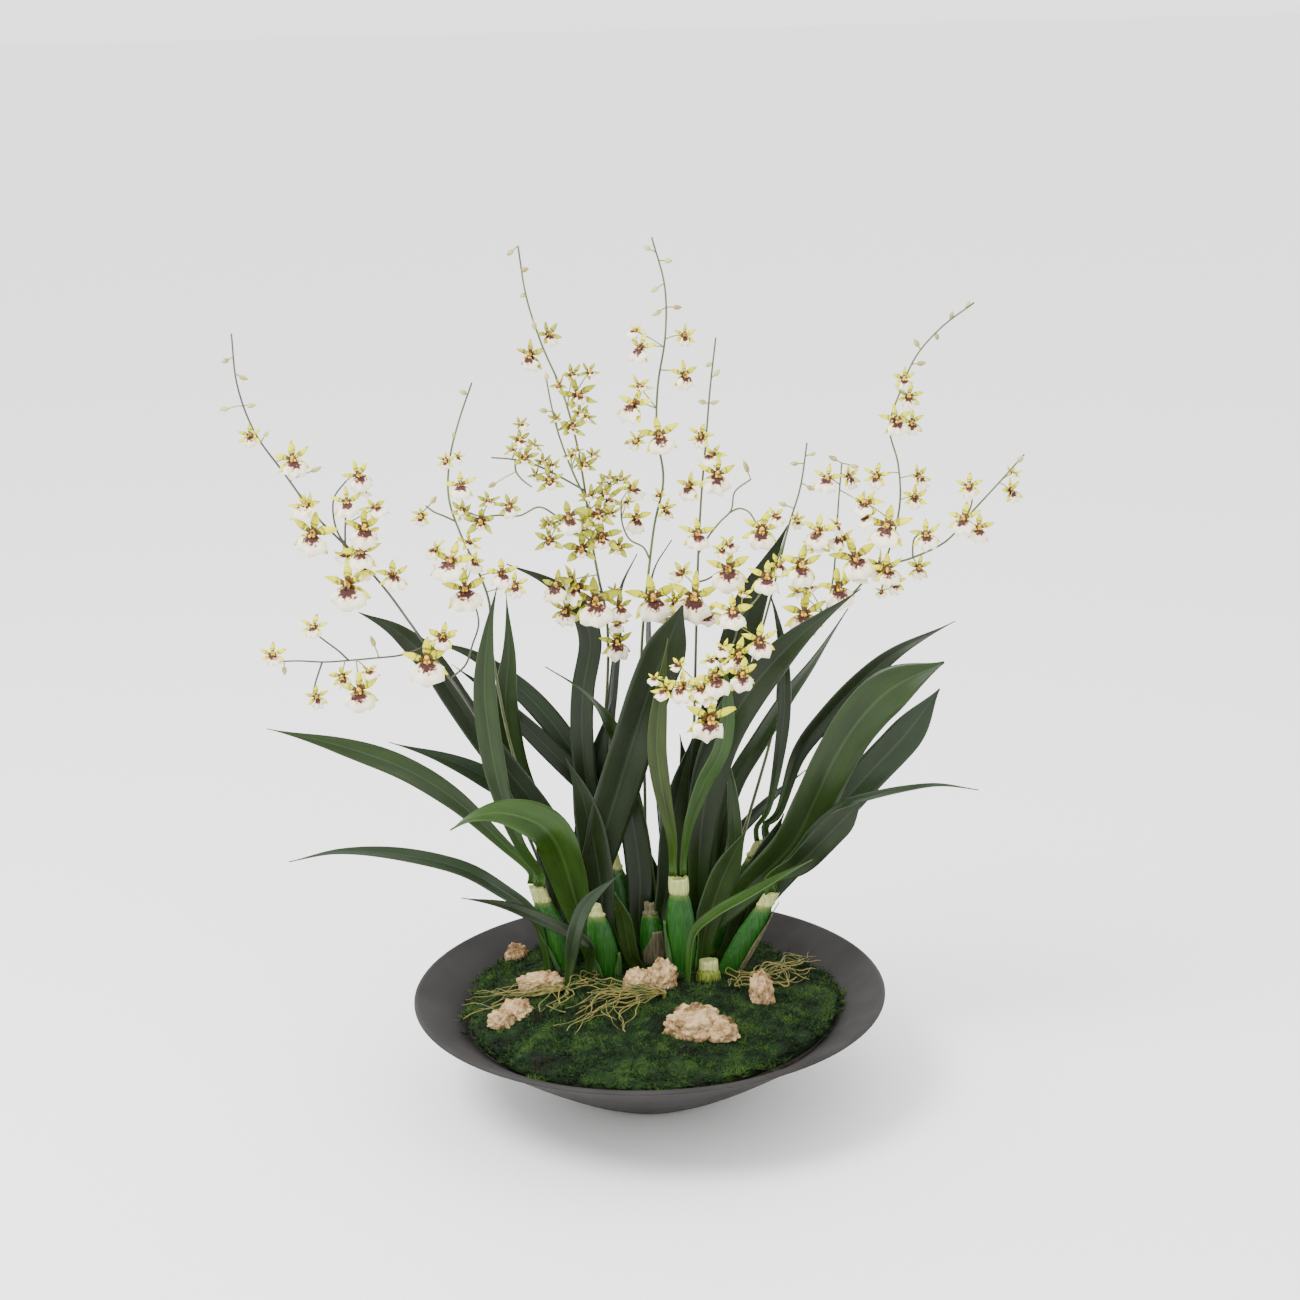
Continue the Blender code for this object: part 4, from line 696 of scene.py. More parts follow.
class ORCHID_OT_moss(bpy.types.Operator):
    """Lay the moss mat and set its tufts"""
    bl_idname = "orchid.moss"
    bl_label = "Moss"

    def execute(self, context):
        settings = context.scene.orchid_moss
        material = sheet_moss(settings)
        moss_mat(settings, material)
        tufts = [moss_tuft(number, settings) for number in range(8)]
        chance = random.Random(7)
        patches = {}
        step = settings.spacing
        count = int(MOSS_RADIUS * 1.05 / step)
        for i in range(-count, count + 1):
            for j in range(-count, count + 1):
                x = (i + chance.uniform(-0.5, 0.5)) * step
                y = (j + chance.uniform(-0.5, 0.5)) * step
                radius = math.hypot(x, y)
                edge = moss_edge(math.atan2(y, x)) + noise.noise(Vector((x, y, 9)) / 0.010) * 9 * MM
                if radius > edge:
                    continue
                size = 0.72 + 0.8 * (noise.noise(Vector((x, y, 5)) / 0.012) + 0.4)
                place = (Matrix.Translation((x, y, moss_top(x, y) - 0.4 * MM)) @ Matrix.Rotation(chance.uniform(0, 6.28), 4, "Z")
                         @ Matrix.Scale(min(max(size, 0.6), 1.35), 4))
                quarter = (x > 0, y > 0)
                if quarter not in patches:
                    patches[quarter] = bmesh.new()
                stamp(patches[quarter], tufts[chance.randrange(8)], place)
        for k, bm in enumerate(patches.values()):
            piece_of(f"moss_tufts_{k}", bm, [material])
        return {"FINISHED"}


# ---------------------------------------------------------------- bark


# A lump stands this much taller than its solid, because its crumbly top isn't level
BARK_CROWN = 1.35


class BarkSettings(bpy.types.PropertyGroup):
    roughness: FloatProperty(name="Knobs", description="Height of the knobs", default=0.13, min=0.0, max=0.5, subtype="FACTOR")
    pale: colour_property("Pale bark", "Colour of the worn faces", "b79b74")
    brown: colour_property("Brown bark", "Colour in the cracks", "4f3b28")


def weathered_cork(settings):
    """Weathered cork bark: dry, matt and crumbly, pale pinkish tan with brown cracks."""
    material, tree, shader = new_material("weathered_cork_bark", Roughness=0.92)
    shader.inputs["Specular IOR Level"].default_value = 0.2
    place = add_node(tree, "TexCoord").outputs["Object"]
    # Cork cells clump into grains of about 2.5 mm, in patches of 12 mm
    grain = add_node(tree, "TexNoise", {"Scale": 1 / 0.0025, "Detail": 4.0, "Roughness": 0.7}, {"Vector": place})
    patch = add_node(tree, "TexNoise", {"Scale": 1 / 0.012, "Detail": 3.0}, {"Vector": place})
    mixed = add_node(tree, "Math", {1: 0.55}, {0: grain.outputs["Fac"], 2: patch.outputs["Fac"]}, operation="MULTIPLY_ADD")
    tone = add_node(tree, "ValToRGB", links={"Fac": mixed.outputs["Value"]},
                    stops=((0.56, settings.brown), (0.70, linear("8b6f4b")), (0.86, settings.pale)))
    tree.links.new(tone.outputs["Color"], shader.inputs["Base Color"])
    add_bump(tree, shader, grain.outputs["Fac"], 1.0, 1.6 * MM)
    return material


class ORCHID_OT_bark(bpy.types.Operator):
    """Shape the lumps of bark that lie in the moss"""
    bl_idname = "orchid.bark"
    bl_label = "Bark"

    def execute(self, context):
        settings = context.scene.orchid_bark
        material = weathered_cork(settings)
        for number, (name, (middle, lobes)) in enumerate(BARK.items()):
            floor = bark_floor(middle)
            bm = bmesh.new()
            for x, y, z, a, b, c in lobes:
                made = bmesh.ops.create_icosphere(bm, subdivisions=5, radius=1.0)
                for vert in made["verts"]:
                    p = vert.co.copy()
                    seed = Vector((number * 3.7, x, y))
                    knobs = 0.12 + noise.fractal(p * 2.2 + seed, 0.6, 2.2, 6) * settings.roughness
                    knobs += abs(noise.noise(p * 2.9 + seed)) * 0.38 - abs(noise.noise(p * 8 + seed)) * 0.16 - 0.05
                    place = Vector((p.x * a, p.y * b, p.z * c * BARK_CROWN)) * (1 + knobs) * MM
                    place += Vector(((middle[0] + x) * MM, (middle[1] + y) * MM, floor + z * MM))
                    place.z = max(place.z, floor)
                    vert.co = place
            piece_of(f"{name}_lump", bm, [material], [name])
        return {"FINISHED"}


# ---------------------------------------------------------------- pseudobulbs


class BulbSettings(bpy.types.PropertyGroup):
    around: IntProperty(name="Sides", description="Faces round a bulb", default=40, min=12, max=96)
    skin: colour_property("Bulb skin", "Colour of the bulb", "1a4c0e")
    shade: colour_property("Bulb shade", "Darker green in the grooves", "10340d")
    collar: colour_property("Cut collar", "Colour of the cut leaf bases on top", "a5ac6c")
    husk: colour_property("Dry husk", "Colour of the papery sheaths", "5d573a")


def bulb_skin(name, colour, shade, light):
    """Waxy skin of a pseudobulb: satin green with lengthwise fibres and darker grooves."""
    material, tree, shader = new_material(name, Roughness=0.40, IOR=1.45, Specular_IOR_Level=0.3)
    up = add_node(tree, "SeparateXYZ", links={"Vector": add_node(tree, "UVMap", uv_map="bulb").outputs["UV"]})
    place = add_node(tree, "TexCoord").outputs["Object"]
    # Fibres are about 1 mm wide and 25 mm long
    long = add_node(tree, "Mapping", {"Scale": (1 / 0.001, 1 / 0.001, 1 / 0.025)}, {"Vector": place})
    fibres = add_node(tree, "TexNoise", {"Scale": 1.0, "Detail": 2.0}, {"Vector": long.outputs["Vector"]})
    tone = add_node(tree, "ValToRGB", links={"Fac": fibres.outputs["Fac"]},
                    stops=((0.30, shade), (0.62, colour), (0.85, light)))
    high = add_node(tree, "ValToRGB", links={"Fac": up.outputs["Y"]},
                    stops=((0.0, (0.55,) * 3), (0.18, (0.0,) * 3), (0.80, (0.0,) * 3), (0.90, (0.5,) * 3)))
    ends = add_node(tree, "Mix", data_type="RGBA", blend_type="MIX")
    tree.links.new(high.outputs["Color"], ends.inputs["Factor"])
    tree.links.new(tone.outputs["Color"], ends.inputs["A"])
    ends.inputs["B"].default_value = (*linear("8c8f45"), 1)
    tree.links.new(ends.outputs["Result"], shader.inputs["Base Color"])
    add_bump(tree, shader, fibres.outputs["Fac"], 0.5, 0.5 * MM)
    return material


def dry_sheath(name, colour, dark):
    """Dried leaf bases: papery and matt, with fine lengthwise fibres."""
    material, tree, shader = new_material(name, Roughness=0.8)
    place = add_node(tree, "TexCoord").outputs["Object"]
    # Fibres are 0.7 mm wide and 18 mm long
    long = add_node(tree, "Mapping", {"Scale": (1 / 0.0014, 1 / 0.0014, 1 / 0.018)}, {"Vector": place})
    fibres = add_node(tree, "TexNoise", {"Scale": 1.0, "Detail": 3.0}, {"Vector": long.outputs["Vector"]})
    tone = add_node(tree, "ValToRGB", links={"Fac": fibres.outputs["Fac"]}, stops=((0.32, dark), (0.66, colour)))
    tree.links.new(tone.outputs["Color"], shader.inputs["Base Color"])
    add_bump(tree, shader, fibres.outputs["Fac"], 0.8, 0.6 * MM)
    return material


# Share of the height and share of the half width, up a pseudobulb and up the collar on it
BULB_ROWS = ((0.0, 0.50), (0.07, 0.70), (0.14, 0.84), (0.24, 0.95), (0.34, 1.0), (0.48, 0.99), (0.62, 0.93), (0.75, 0.80),
             (0.86, 0.60))
COLLAR_ROWS = ((0.84, 0.60), (0.88, 0.70), (0.94, 0.70), (1.0, 0.66))


def row_value(rows, share):
    """The value at a share of the height, between the rows."""
    for (low, start), (high, stop) in zip(rows, rows[1:]):
        if share <= high:
            return start + (stop - start) * ramp(share, low, high) if high > low else stop
    return rows[-1][1]


def bulb_point(name, share, angle, half, proud=0.0):
    """A point round a bulb at a share of its height; the flattened bulb is wide across the bowl."""
    foot, top = bulb_axis(name)
    _, _, width, thickness = BULBS[name]
    middle = foot.lerp(top, share)
    x = math.cos(angle) * (width * half * 0.5 * MM + proud)
    y = math.sin(angle) * (thickness * half * 0.5 * MM + proud)
    return middle + Vector((x, y, 0))


def make_bulb(name, settings, skin, collar_finish):
    """A flattened, fluted bulb and the cut collar that tops it."""
    bm = bmesh.new()
    uv = bm.loops.layers.uv.new("bulb")
    rows = 30
    shares = {}
    for vert, (level, angle) in sphere_levels(bm, settings.around, rows).items():
        share = min(max((level - 1) / (rows - 1), 0.0), 1.0) * 0.87
        half = 0.0 if level in (0, rows + 1) else row_value(BULB_ROWS, share)
        flute = 1 + 0.035 * math.cos(4 * angle) * ramp(share, 0.05, 0.3) + 0.012 * math.cos(14 * angle + share * 2)
        vert.co = bulb_point(name, share, angle, half * flute)
        shares[vert] = share
    for face in bm.faces:
        for loop in face.loops:
            loop[uv].uv = (0.5, shares[loop.vert])
    piece_of(f"{name}_body", bm, [skin], [name])
    bm = bmesh.new()
    rows = 10
    chance = random.Random(name)
    ragged = [chance.uniform(-0.018, 0.012) for _ in range(8)]
    for vert, (level, angle) in sphere_levels(bm, 32, rows).items():
        rise = min(max((level - 1) / (rows - 4), 0.0), 1.0)
        share = COLLARS[name][2] + (1 - COLLARS[name][2]) * rise
        half = row_value(COLLAR_ROWS, 0.84 + 0.16 * rise) * (COLLARS[name][0] if rise > 0.2 else 1)
        half += 0.012 * math.cos(9 * angle) + 0.02 * math.cos(2 * angle + 1)
        if level > rows - 3:
            half *= (0.82, 0.70, 0.0)[min(level - rows + 2, 2)]
            share -= 0.02
        elif level > rows - 6:
            share += ragged[int((angle / math.pi + 1) * 3.99)]
        if level == 0:
            half = 0.0
        vert.co = bulb_point(name, share, angle, half)
    piece_of(f"{name}_collar", bm, [collar_finish])


# Dry husks that hug the bulbs: bulb, angles (degrees round the bulb, from +X) and shares of its height
HUSKS = (("pseudobulb_right", -60, 40, 0.0, 0.90, "husk"), ("pseudobulb_left", -200, -120, 0.0, 0.62, "green"),
         ("pseudobulb_centre", -30, 60, 0.0, 0.50, "green"), ("pseudobulb_front_left", -190, -110, 0.0, 0.55, "green"),
         ("pseudobulb_old", -150, 20, 0.0, 0.66, "husk"), ("pseudobulb_rear_centre", -160, -60, 0.0, 0.60, "green"),
         ("pseudobulb_rear_right", -60, 30, 0.0, 0.7, "green"), ("pseudobulb_centre", -190, -130, 0.0, 0.62, "green"),
         ("pseudobulb_front_left", -60, 10, 0.0, 0.45, "green"))

# How much of the full width each bulb's collar has, whether it is still pale, and the share of the height where it starts
COLLARS = {"pseudobulb_left": (0.86, "pale", 0.84), "pseudobulb_front_left": (0.70, "pale", 0.86),
           "pseudobulb_rear_centre": (0.82, "pale", 0.84), "pseudobulb_old": (0.62, "dark", 0.84),
           "pseudobulb_centre": (0.98, "pale", 0.84), "pseudobulb_right": (0.86, "pale", 0.86),
           "pseudobulb_rear_right": (0.74, "pale", 0.88), "pseudobulb_cut": (1.12, "pale", 0.42)}


def make_husk(number, name, start, stop, low, high, finish):
    """A papery sheath, laid round one side of a bulb and loose at its upper edge."""
    bm = bmesh.new()
    bmesh.ops.create_grid(bm, x_segments=14, y_segments=18, size=1.0)
    for vert in bm.verts:
        u, v = (vert.co.x + 1) / 2, (vert.co.y + 1) / 2
        taper = 1 - 0.75 * ramp(v, 0.45, 1.0)
        angle = math.radians((start + stop) / 2 + (stop - start) * (u - 0.5) * taper)
        share = low + (high - low) * v
        proud = (0.7 + 1.6 * ramp(v, 0.6, 1.0) + 0.4 * abs(2 * u - 1) + 0.25 * math.sin(u * 19 + number)) * MM
        vert.co = bulb_point(name, share, angle, row_value(BULB_ROWS, min(share, 0.8)), proud)
    bmesh.ops.recalc_face_normals(bm, faces=bm.faces)
    husk = piece_of(f"husk_{number}", bm, [finish])
    shell = husk.modifiers.new("Thickness", "SOLIDIFY")
    shell.thickness = 0.4 * MM
    shell.offset = 0.0


class ORCHID_OT_bulbs(bpy.types.Operator):
    """Shape the pseudobulbs with their cut collars and dry husks"""
    bl_idname = "orchid.bulbs"
    bl_label = "Pseudobulbs"

    def execute(self, context):
        settings = context.scene.orchid_bulbs
        skin = bulb_skin("waxy_bulb_skin", settings.skin, settings.shade, linear("2f6a17"))
        old_skin = bulb_skin("yellowed_bulb_skin", linear("6f7a2c"), linear("454d1c"), linear("8d9440"))
        collar = dry_sheath("cut_leaf_base", settings.collar, linear("7b8247"))
        husk = dry_sheath("papery_husk", settings.husk, linear("37331f"))
        green = dry_sheath("green_leaf_sheath", linear("2f5517"), linear("1c3a10"))
        for name in BULBS:
            make_bulb(name, settings, old_skin if name == "pseudobulb_cut" else skin, collar if COLLARS[name][1] == "pale" else husk)
        for number, plan in enumerate(HUSKS):
            make_husk(number, *plan[:-1], husk if plan[-1] == "husk" else green)
        return {"FINISHED"}


# ---------------------------------------------------------------- leaves


class LeafSettings(bpy.types.PropertyGroup):
    thickness: FloatProperty(name="Thickness", description="Thickness of a leaf", default=1.0 * MM, min=0.0004, max=0.003,
                             unit="LENGTH")
    wave: FloatProperty(name="Edge wave", description="How much the edges wave, as a share of the half width",
                        default=0.05, min=0.0, max=0.3, subtype="FACTOR")
    bright: colour_property("Bright leaf", "Face of the young leaves", "243c0e")
    fresh: colour_property("Fresh leaf", "Face of the yellower leaves", "273409")
    middle: colour_property("Mid leaf", "Face of most leaves", "1b2c08")
    # The dark tone is darker old-leaf colour with painted shade in it, for the leaves that lie in shade at the back and
    # inside the clump.
    dark: colour_property("Dark leaf", "Face of the old leaves", "131f06")
    blue: colour_property("Blue leaf", "Face of the grey-green leaves", "182710")


# Tone of each leaf and the share of its length where the tip begins to narrow; the dark tone is partly painted shade,
# given to the leaves that lie in shade.
LEAF_LOOKS = {
    "leaf_left_long": ("middle", 0.55), "leaf_left_upright": ("middle", 0.55), "leaf_left_low": ("blue", 0.55),
    "leaf_left_short": ("dark", 0.55), "leaf_left_middle": ("blue", 0.55), "leaf_front_folded": ("bright", 0.62),
    "leaf_left_inner": ("middle", 0.60), "leaf_upper_left": ("dark", 0.78), "leaf_shaded_left": ("dark", 0.60),
    "leaf_rear_left": ("blue", 0.60), "leaf_arched": ("dark", 0.70), "leaf_thin_centre": ("middle", 0.55),
    "leaf_centre_broad": ("dark", 0.84), "leaf_slim_left": ("dark", 0.60), "leaf_slim_centre": ("dark", 0.60),
    "leaf_tall_right": ("dark", 0.72), "leaf_right_broad": ("dark", 0.60), "leaf_rear_right_upright": ("dark", 0.55),
    "leaf_right_edge_on": ("middle", 0.60), "leaf_right_slender": ("dark", 0.55), "leaf_right_wide": ("middle", 0.82),
    "leaf_right_under": ("blue", 0.80), "leaf_right_low": ("dark", 0.72), "leaf_right_wisp": ("blue", 0.50),
    "leaf_front_edge": ("bright", 0.55), "leaf_dark_crossing": ("dark", 0.60), "leaf_centre_left_tall": ("fresh", 0.55),
    "leaf_centre_right_tall": ("bright", 0.55), "leaf_rear_short": ("middle", 0.55), "leaf_front_small": ("blue", 0.50),
}


# Basal leaves that fill the foot of the clump: foot (x, y in mm), width in mm, the way the face looks at the foot and
# at the tip, midrib (across, down, back on the drawing), and tone
# Most of these take the dark tone, which is partly painted shade for the inside of the clump.
BASAL_LEAVES = {
    "basal_left_front": ((-20, 34), 27, (-0.4, -1, 0), (-0.3, -1, 0.2),
        ((607, 930, 36), (600, 880, 40), (592, 835, 42), (580, 790, 40), (566, 760, 36)), "dark"),
    "basal_centre_left": ((8, 52), 24, (0.2, -1, 0), (-0.2, -1, 0.1),
        ((640, 930, 54), (640, 880, 58), (634, 830, 60), (624, 785, 60), (610, 752, 58)), "dark"),
    "basal_centre": ((20, 42), 22, (0.2, -1, 0), (0.3, -1, 0.1),
        ((660, 930, 46), (668, 880, 50), (672, 830, 50), (681, 780, 48), (694, 735, 44)), "dark"),
    "basal_right_front": ((44, 30), 26, (0.4, -1, 0.1), (0.3, -1, 0.3),
        ((704, 935, 30), (716, 895, 31), (730, 862, 30), (747, 830, 26)), "middle"),
    "basal_right": ((60, 42), 24, (0.4, -1, 0), (0.4, -1, 0.3),
        ((735, 930, 46), (752, 885, 47), (768, 848, 44), (784, 815, 40)), "dark"),
    "basal_left": ((-52, 58), 26, (-0.4, -1, 0), (-0.4, -1, 0.2),
        ((563, 930, 58), (556, 885, 60), (548, 845, 58), (536, 810, 54)), "middle"),
    "basal_rear_left": ((-38, 72), 22, (-0.1, -1, 0), (0.1, -1, 0.1),
        ((590, 920, 76), (585, 860, 80), (591, 800, 82), (601, 745, 80), (612, 700, 76)), "dark"),
    "basal_rear_right": ((30, 72), 22, (0.1, -1, 0), (0.2, -1, 0.1),
        ((688, 905, 78), (690, 850, 82), (688, 790, 84), (680, 735, 82)), "dark"),
    "basal_small": ((-4, 26), 15, (-0.2, -1, 0), (-0.4, -1, 0.3),
        ((631, 955, 20), (624, 920, 17), (615, 893, 13)), "middle"),
}


def leaf_skin(tone, colour):
    """Waxy leaf skin: satin, with parallel veins, a pale midrib line, a yellower foot, and thin pale margins that are a
    painted highlight along the raised edges.
    """
    material, tree, shader = new_material(f"waxy_leaf_{tone}", Roughness=0.36, IOR=1.45, Specular_IOR_Level=0.3)
    flat = add_node(tree, "UVMap", uv_map="leaf").outputs["UV"]
    axes = add_node(tree, "SeparateXYZ", links={"Vector": flat})
    pale = tuple(min(c * 1.9 + 0.02, 1.0) for c in colour)
    # Pale margins at both edges are a painted highlight where the raised edges catch the light; the pale line down the
    # middle is the midrib.
    across = add_node(tree, "ValToRGB", links={"Fac": axes.outputs["X"]},
                      stops=((0.0, (0.45,) * 3), (1.0, (0.45,) * 3), (0.035, (0.04,) * 3), (0.455, (0.0,) * 3),
                             (0.495, (0.42,) * 3), (0.505, (0.42,) * 3), (0.545, (0.0,) * 3), (0.965, (0.04,) * 3)))
    # Veins run the whole leaf, about 14 to a leaf; one tone patch is a fifth of the length
    thin = add_node(tree, "Mapping", {"Scale": (34.0, 1.2, 1.0)}, {"Vector": flat})
    veins = add_node(tree, "TexNoise", {"Scale": 1.0, "Detail": 2.0}, {"Vector": thin.outputs["Vector"]})
    wide = add_node(tree, "Mapping", {"Scale": (2.0, 5.0, 1.0)}, {"Vector": flat})
    patch = add_node(tree, "TexNoise", {"Scale": 1.0, "Detail": 2.0}, {"Vector": wide.outputs["Vector"]})
    mixed = add_node(tree, "Math", {1: 0.5}, {0: veins.outputs["Fac"], 2: patch.outputs["Fac"]}, operation="MULTIPLY_ADD")
    face = add_node(tree, "ValToRGB", links={"Fac": mixed.outputs["Value"]},
                    stops=((0.50, tuple(c * 0.55 for c in colour)), (1.0, tuple(c * 1.30 for c in colour))))
    midrib_and_edge_highlight = add_node(tree, "Mix", data_type="RGBA", blend_type="MIX")
    tree.links.new(across.outputs["Color"], midrib_and_edge_highlight.inputs["Factor"])
    tree.links.new(face.outputs["Color"], midrib_and_edge_highlight.inputs["A"])
    midrib_and_edge_highlight.inputs["B"].default_value = (*pale, 1)
    foot = add_node(tree, "ValToRGB", links={"Fac": axes.outputs["Y"]}, stops=((0.0, (0.65,) * 3), (0.32, (0.0,) * 3)))
    young = add_node(tree, "Mix", data_type="RGBA", blend_type="MIX")
    tree.links.new(foot.outputs["Color"], young.inputs["Factor"])
    tree.links.new(midrib_and_edge_highlight.outputs["Result"], young.inputs["A"])
    young.inputs["B"].default_value = (*linear("2f4f12"), 1)
    tree.links.new(young.outputs["Result"], shader.inputs["Base Color"])
    add_bump(tree, shader, veins.outputs["Fac"], 0.35, 0.35 * MM)
    return material


def leaf_width_share(s, short, tip_start):
    """Narrow at the foot, widest past the middle, pointed at the tip."""
    rise = LEAF_BASE_SHARE + (1 - LEAF_BASE_SHARE) * ramp(s, 0.04, 0.5)
    tip = 1 - ramp(s, tip_start, 1.02) ** 1.6
    return max(rise * tip, 0.03 if not short else 0.04)


def make_leaf(name, points, width, faces, tip_start, settings, finish, replaced=()):
    """A strap leaf laid along its midrib, folded into a shallow V that opens towards the tip."""
    face_low, face_tip = faces
    length = sum((b - a).length for a, b in zip(points, points[1:]))
    rows = max(24, min(72, round(length / (5 * MM))))
    path = smooth_path(points, rows + 1)
    chance = random.Random(name)
    phase = chance.uniform(0, 6)
    bm = bmesh.new()
    uv = bm.loops.layers.uv.new("leaf")
    bmesh.ops.create_grid(bm, x_segments=10, y_segments=rows, size=1.0)
    for face in bm.faces:
        for loop in face.loops:
            loop[uv].uv = ((loop.vert.co.x + 1) / 2, (loop.vert.co.y + 1) / 2)
    for vert in bm.verts:
        s = (vert.co.y + 1) / 2
        t = vert.co.x
        i = round(s * rows)
        along = (path[min(i + 2, rows)] - path[max(i - 2, 0)]).normalized()
        face = Vector(face_low).lerp(Vector(face_tip), s)
        face = (face - face.dot(along) * along).normalized()
        half = width * MM / 2 * leaf_width_share(s, length < 0.15, tip_start)
        fold = 0.44 * (1 - ramp(s, 0.0, 0.45)) + 0.16
        lift = (math.sqrt(t * t + 0.008) - 0.0894) * fold
        waves = settings.wave * t * t * math.sin(s * length / 0.024 + phase + (1.7 if t > 0 else 0)) * ramp(s, 0.2, 0.6)
        vert.co = path[i] + along.cross(face) * t * half + face * (lift + waves) * half
    leaf = piece_of(f"{name}_blade", bm, [finish], replaced)
    solid = leaf.modifiers.new("Thickness", "SOLIDIFY")
    solid.thickness = settings.thickness
    solid.offset = 0.0


class ORCHID_OT_leaves(bpy.types.Operator):
    """Lay every strap leaf along its midrib"""
    bl_idname = "orchid.leaves"
    bl_label = "Leaves"

    def execute(self, context):
        settings = context.scene.orchid_leaves
        finishes = {tone: leaf_skin(tone, tuple(getattr(settings, tone))) for tone in ("bright", "fresh", "middle", "dark", "blue")}
        for name, (_, _, width, face_low, face_tip, _) in LEAVES.items():
            tone, tip_start = LEAF_LOOKS[name]
            make_leaf(name, leaf_path(name), width, (face_low, face_tip), tip_start, settings, finishes[tone], [name])
        for name, (foot, width, face_low, face_tip, drawn, tone) in BASAL_LEAVES.items():
            low = Vector((foot[0] * MM, foot[1] * MM, FOOT_HEIGHT))
            points = [low, low + Vector((0, 0, 12 * MM))] + [from_view(*point) for point in drawn]
            make_leaf(name, points, width, (face_low, face_tip), 0.6, settings, finishes[tone])
        return {"FINISHED"}


# ---------------------------------------------------------------- aerial roots


class RootSettings(bpy.types.PropertyGroup):
    strands: IntProperty(name="Strands", description="Thin strands beside each main root", default=5, min=0, max=12)
    thickness: FloatProperty(name="Thickness", description="Radius of a main root at its crown", default=1.1 * MM,
                             min=0.0003, max=0.003, unit="LENGTH")
    skin: colour_property("Root", "Colour of the dry root skin", "786a30")
    green: colour_property("Root green", "Colour of the fresh stretches", "4a5322")


def root_skin(settings):
    """Dry root skin: matt straw yellow with greener stretches."""
    material, tree, shader = new_material("dry_root_skin", Roughness=0.7)
    place = add_node(tree, "TexCoord").outputs["Object"]
    # A stretch of one colour is about 10 mm long
    patch = add_node(tree, "TexNoise", {"Scale": 1 / 0.010, "Detail": 3.0}, {"Vector": place})
    tone = add_node(tree, "ValToRGB", links={"Fac": patch.outputs["Fac"]}, stops=((0.36, settings.green), (0.60, settings.skin)))
    tree.links.new(tone.outputs["Color"], shader.inputs["Base Color"])
    return material


class ORCHID_OT_roots(bpy.types.Operator):
    """Lay the aerial roots over the moss"""
    bl_idname = "orchid.roots"
    bl_label = "Aerial roots"

    def execute(self, context):
        settings = context.scene.orchid_roots
        finish = root_skin(settings)
        for number, (name, (crown, runs)) in enumerate(ROOTS.items()):
            chance = random.Random(40 + number)
            x, y = crown[0] * MM, crown[1] * MM
            heart = Vector((x, y, moss_height(x, y) + 3.0 * MM))
            bm = bmesh.new()
            sleeve(bm, smooth_path([Vector((x, y, FOOT_HEIGHT)), heart + Vector((0, 0, 1.5 * MM))], 5), lambda s: 2.0 * MM, 8)
            for run in runs:
                for strand in range(settings.strands + 1):
                    stray = 0.0 if strand == 0 else 13.0
                    route = [heart + Vector((chance.uniform(-3, 3), chance.uniform(-3, 3), 0)) * MM * bool(strand)]
                    for px, py in run:
                        px += chance.uniform(-stray, stray)
                        py += chance.uniform(-stray, stray)
                        lift = 3.6 + (chance.uniform(-0.5, 9.0) if strand else 0)
                        route.append(Vector((px * MM, py * MM, moss_height(px * MM, py * MM) + lift * MM)))
                    if strand and chance.random() < 0.4:
                        route = route[:-1] + [route[-2].lerp(route[-1], 0.5)]
                    path = smooth_path(route, 26)
                    for i, point in enumerate(path[1:], 1):
                        wiggle = noise.noise_vector(point / 0.015 + Vector((strand, number, 0))) * 6.0 * MM * min(i / 6, 1.0)
                        path[i] = point + Vector((wiggle.x, wiggle.y, wiggle.z * 0.5))
                    size = settings.thickness * (0.9 if strand == 0 else chance.uniform(0.35, 0.7))
                    sleeve(bm, path, lambda s, size=size: size * (1 - 0.55 * s), 6)
            piece_of(f"{name}_strands", bm, [finish], [name])
        return {"FINISHED"}


# ---------------------------------------------------------------- flower sprays


# How open each shape of bloom is and how long its lip: five full ones, three half open and four young ones
BLOOM_SHAPES = ((1.0, 1.0), (1.0, 0.92), (0.95, 1.05), (0.9, 0.96), (1.0, 1.0), (0.45, 0.9), (0.5, 0.8), (0.4, 0.85),
                (0.6, 0.5), (0.4, 0.45), (0.75, 0.55), (0.3, 0.4))
# The petals curl past the solid's points by this share
BLOOM_FULLNESS = 1.10


class SpraySettings(bpy.types.PropertyGroup):
    petal: FloatProperty(name="Petal thickness", description="Thickness of a petal", default=0.5 * MM, min=0.0002, max=0.002,
                         unit="LENGTH")
    yellow: colour_property("Petal yellow", "Colour of the narrow petals", "cfcd04")
    green_yellow: colour_property("Petal green-yellow", "Narrow petals of the youngest sprays", "9a9c14")
    brown: colour_property("Petal bars", "Colour of the bars near the foot of a petal", "431c0c")
    white: colour_property("Lip", "Colour of the broad lip", "f4ead0")
    heart: colour_property("Lip heart", "Colour of the blotch on the lip", "38120e")
    crest: colour_property("Crest", "Colour of the knobs in the middle", "e0b13a")
    stem: colour_property("Stem", "Colour of the flower stems", "59613a")
    dark_stem: colour_property("Dark stem", "Colour of the oldest stem", "4d4a42")
    stalk: colour_property("Stalk", "Colour of stalks and buds", "8f9548")


